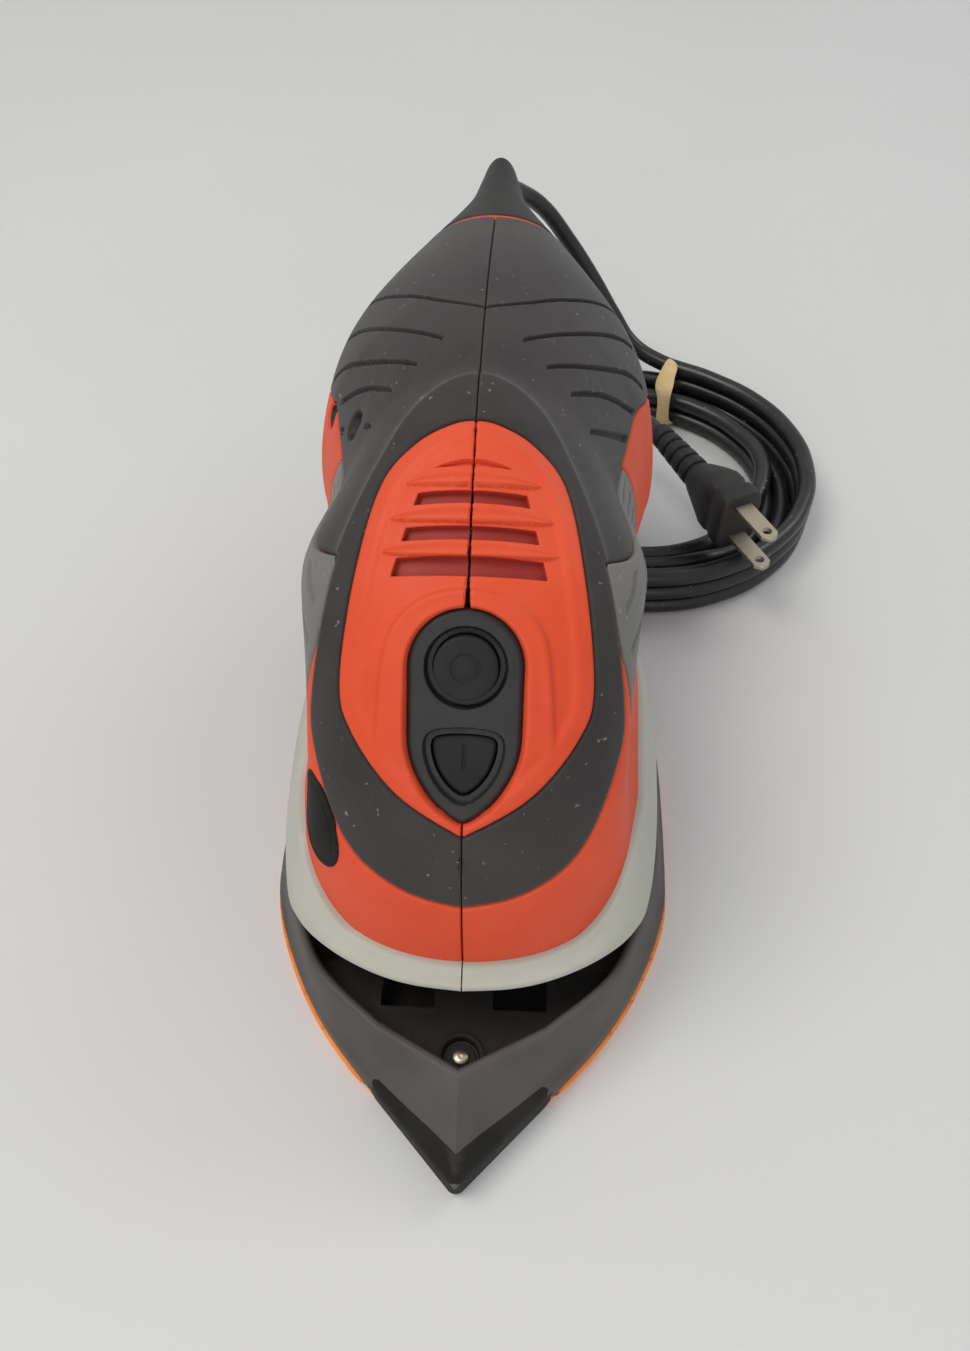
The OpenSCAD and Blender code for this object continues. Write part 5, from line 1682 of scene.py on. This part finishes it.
def tip():
    """The V-shaped replaceable tip, with a lip that stands proud along its two edges."""
    edge = unit((TIP_HALF, TIP_Y - TIP_END))
    normal = np.array([-edge[1], edge[0]])          # inward, for the right edge
    half_angle = math.atan2(edge[0], edge[1])
    corner = np.array([0.0, TIP_END])
    radius = 2.6
    section = [(0.25, SHOE_Z), (0.0, SHOE_Z + 0.5), (0.0, 8.2), (0.1, 9.4), (0.5, 10.5), (1.2, 11.5), (2.1, 12.3),
               (3.2, 13.1), (3.9, 13.6), (4.4, 13.7), (4.7, 13.4), (4.8, 12.6), (4.8, 9.0), (4.8, SHOE_Z)]
    tangent = radius / math.tan(half_angle)
    length = math.hypot(TIP_HALF, TIP_Y - TIP_END) - 0.4
    sections = []
    for s in np.linspace(length, tangent, 14):
        close = length - s
        shrink = 0.35 * (1 - min(1, close / 1.2)) ** 2
        ring = []
        for d, z in section:
            at = corner + edge * s + normal * (d * (1 - shrink * 0.3) + shrink)
            if at[0] < 0:
                at = corner + np.array([0, d / math.sin(half_angle)])
            ring.append((at[0], at[1], z - (z - SHOE_Z) * shrink * 0.15))
        sections.append(ring)
    centre = corner + np.array([0, radius / math.sin(half_angle)])
    sweep = math.pi / 2 - half_angle
    for angle in np.linspace(sweep, 0, 7)[1:]:
        out = np.array([math.sin(angle), -math.cos(angle)])
        ring = []
        for d, z in section:
            if d <= radius - 0.1:
                at = centre + out * (radius - d)
            else:
                mitre = corner + np.array([0, d / math.sin(half_angle)])
                start = corner + edge * tangent + normal * d
                at = mitre if start[0] < 0 else mitre + (start - mitre) * (angle / sweep)
            ring.append((at[0], at[1], z))
        sections.append(ring)
    right = [np.array(r) for r in sections]
    left = [r * (-1, 1, 1) for r in right[:-1]][::-1]
    rail = loft("tip_shoe", right + left, TIP, "platen", 35)
    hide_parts("platen_tip")
    # the shoe's web under the nose, between the two rails
    web = []
    for inset, z in ((4.2, SHOE_Z + 0.1), (4.2, PLATE_TOP - 0.1)):
        apex = TIP_END + inset / math.sin(half_angle)
        wide = (TIP_Y - 0.4 - apex) * math.tan(half_angle)
        web.append([(0, apex, z), (wide, TIP_Y - 0.4, z), (-wide, TIP_Y - 0.4, z)])
    core = loft("tip_web", web, TIP, "platen")


def pad():
    """Foam pad with soft, slightly bulging sides and its dust holes."""
    outline = Outline(BASE_PLAN[:len(BASE_PLAN) // 2 + 1], pitch=0.5)
    holes = [(31 * math.cos(a), -48 + 31 * math.sin(a)) for a in np.arange(6) * math.pi / 3]

    def hole_gap(p):
        gap = np.full(len(p), 50.0)
        for x, y in holes:
            gap = np.minimum(gap, np.hypot(p[:, 0] - x, p[:, 1] - y) - 4)
        return gap

    def edge_in(p):
        return outline.inside(p[:, 0], p[:, 1])

    def top_height(p):
        behind = smooth((p[:, 1] - TIP_Y) / 0.6)
        tall = SHOE_Z + (PAD_T - SHOE_Z) * behind
        return tall + roll(bulge(p), 0.8) * (0.2 + 0.8 * behind)

    def bulge(p):
        """Distance inside the pad's edge: it stands out behind the tip, and is tucked in under it."""
        return edge_in(p) + 0.8 - 2.2 * smooth((TIP_Y - 0.3 - p[:, 1]) / 1.0)

    def size(p):
        return finer(p, 3.0, (hole_gap(p) < 1.5, 0.9), ((bulge(p) < 1.4) | (np.abs(p[:, 1] - TIP_Y) < 1), 0.7))

    p, tris = cut_sheet(((-58, -146), (58, 14)), 3.0, [bulge, hole_gap], size)
    outer, inner = p.copy(), p.copy()
    outer[:, 2] = np.maximum(top_height(p), 0.5)
    # the sides lean in towards the floor
    inner[:, 2] = 0.0
    rim = bulge(p)[:, None] < 1.0
    inner[:, :2] = np.where(rim, p[:, :2] * (1 - 0.6 / 60), p[:, :2])
    points, faces = shell_mesh(outer, inner, tris)
    piece = make("foam_pad", points, faces, FOAM, "platen", 50)
    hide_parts("sanding_pad")


def tip_screw():
    """Domed screw head over a dark washer, in the recess of the nose."""
    at = (0, NOSE_SCREW_Y, 0)
    head, faces = turned_solid([(0.05, 4.2), (1.55, 4.2), (1.55, 16.6), (2.0, 16.7), (2.0, 17.1), (1.8, 17.5),
                                (1.3, 17.8), (0.75, 17.9), (0.6, 17.45), (0.05, 17.4)], 48)
    screw = make("tip_screw_head", head + at, faces, SCREW, "platen", 30)
    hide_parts("tip_screw")
    ring = lathe([(1.7, 15.9), (3.6, 15.9), (3.9, 16.1), (3.9, 16.4), (3.6, 16.6), (1.7, 16.6)], 48)
    washer = make("tip_washer", ring + at, tube_faces(6, 48), TIP, "platen", 30)


tip_screw()
wells()
label()
tail()
switch()
shrouds()
skirt()
tip()
pad()


# ---- the CAD pieces that stay -------------------------------------------------------

for part in frame["record"]["subparts"]:
    obj = frame["nodes"][part["node"]]
    look = LOOKS[part["material_slot"]]
    if not obj.material_slots:
        obj.data.materials.append(look)
    for place in obj.material_slots:
        place.material = look
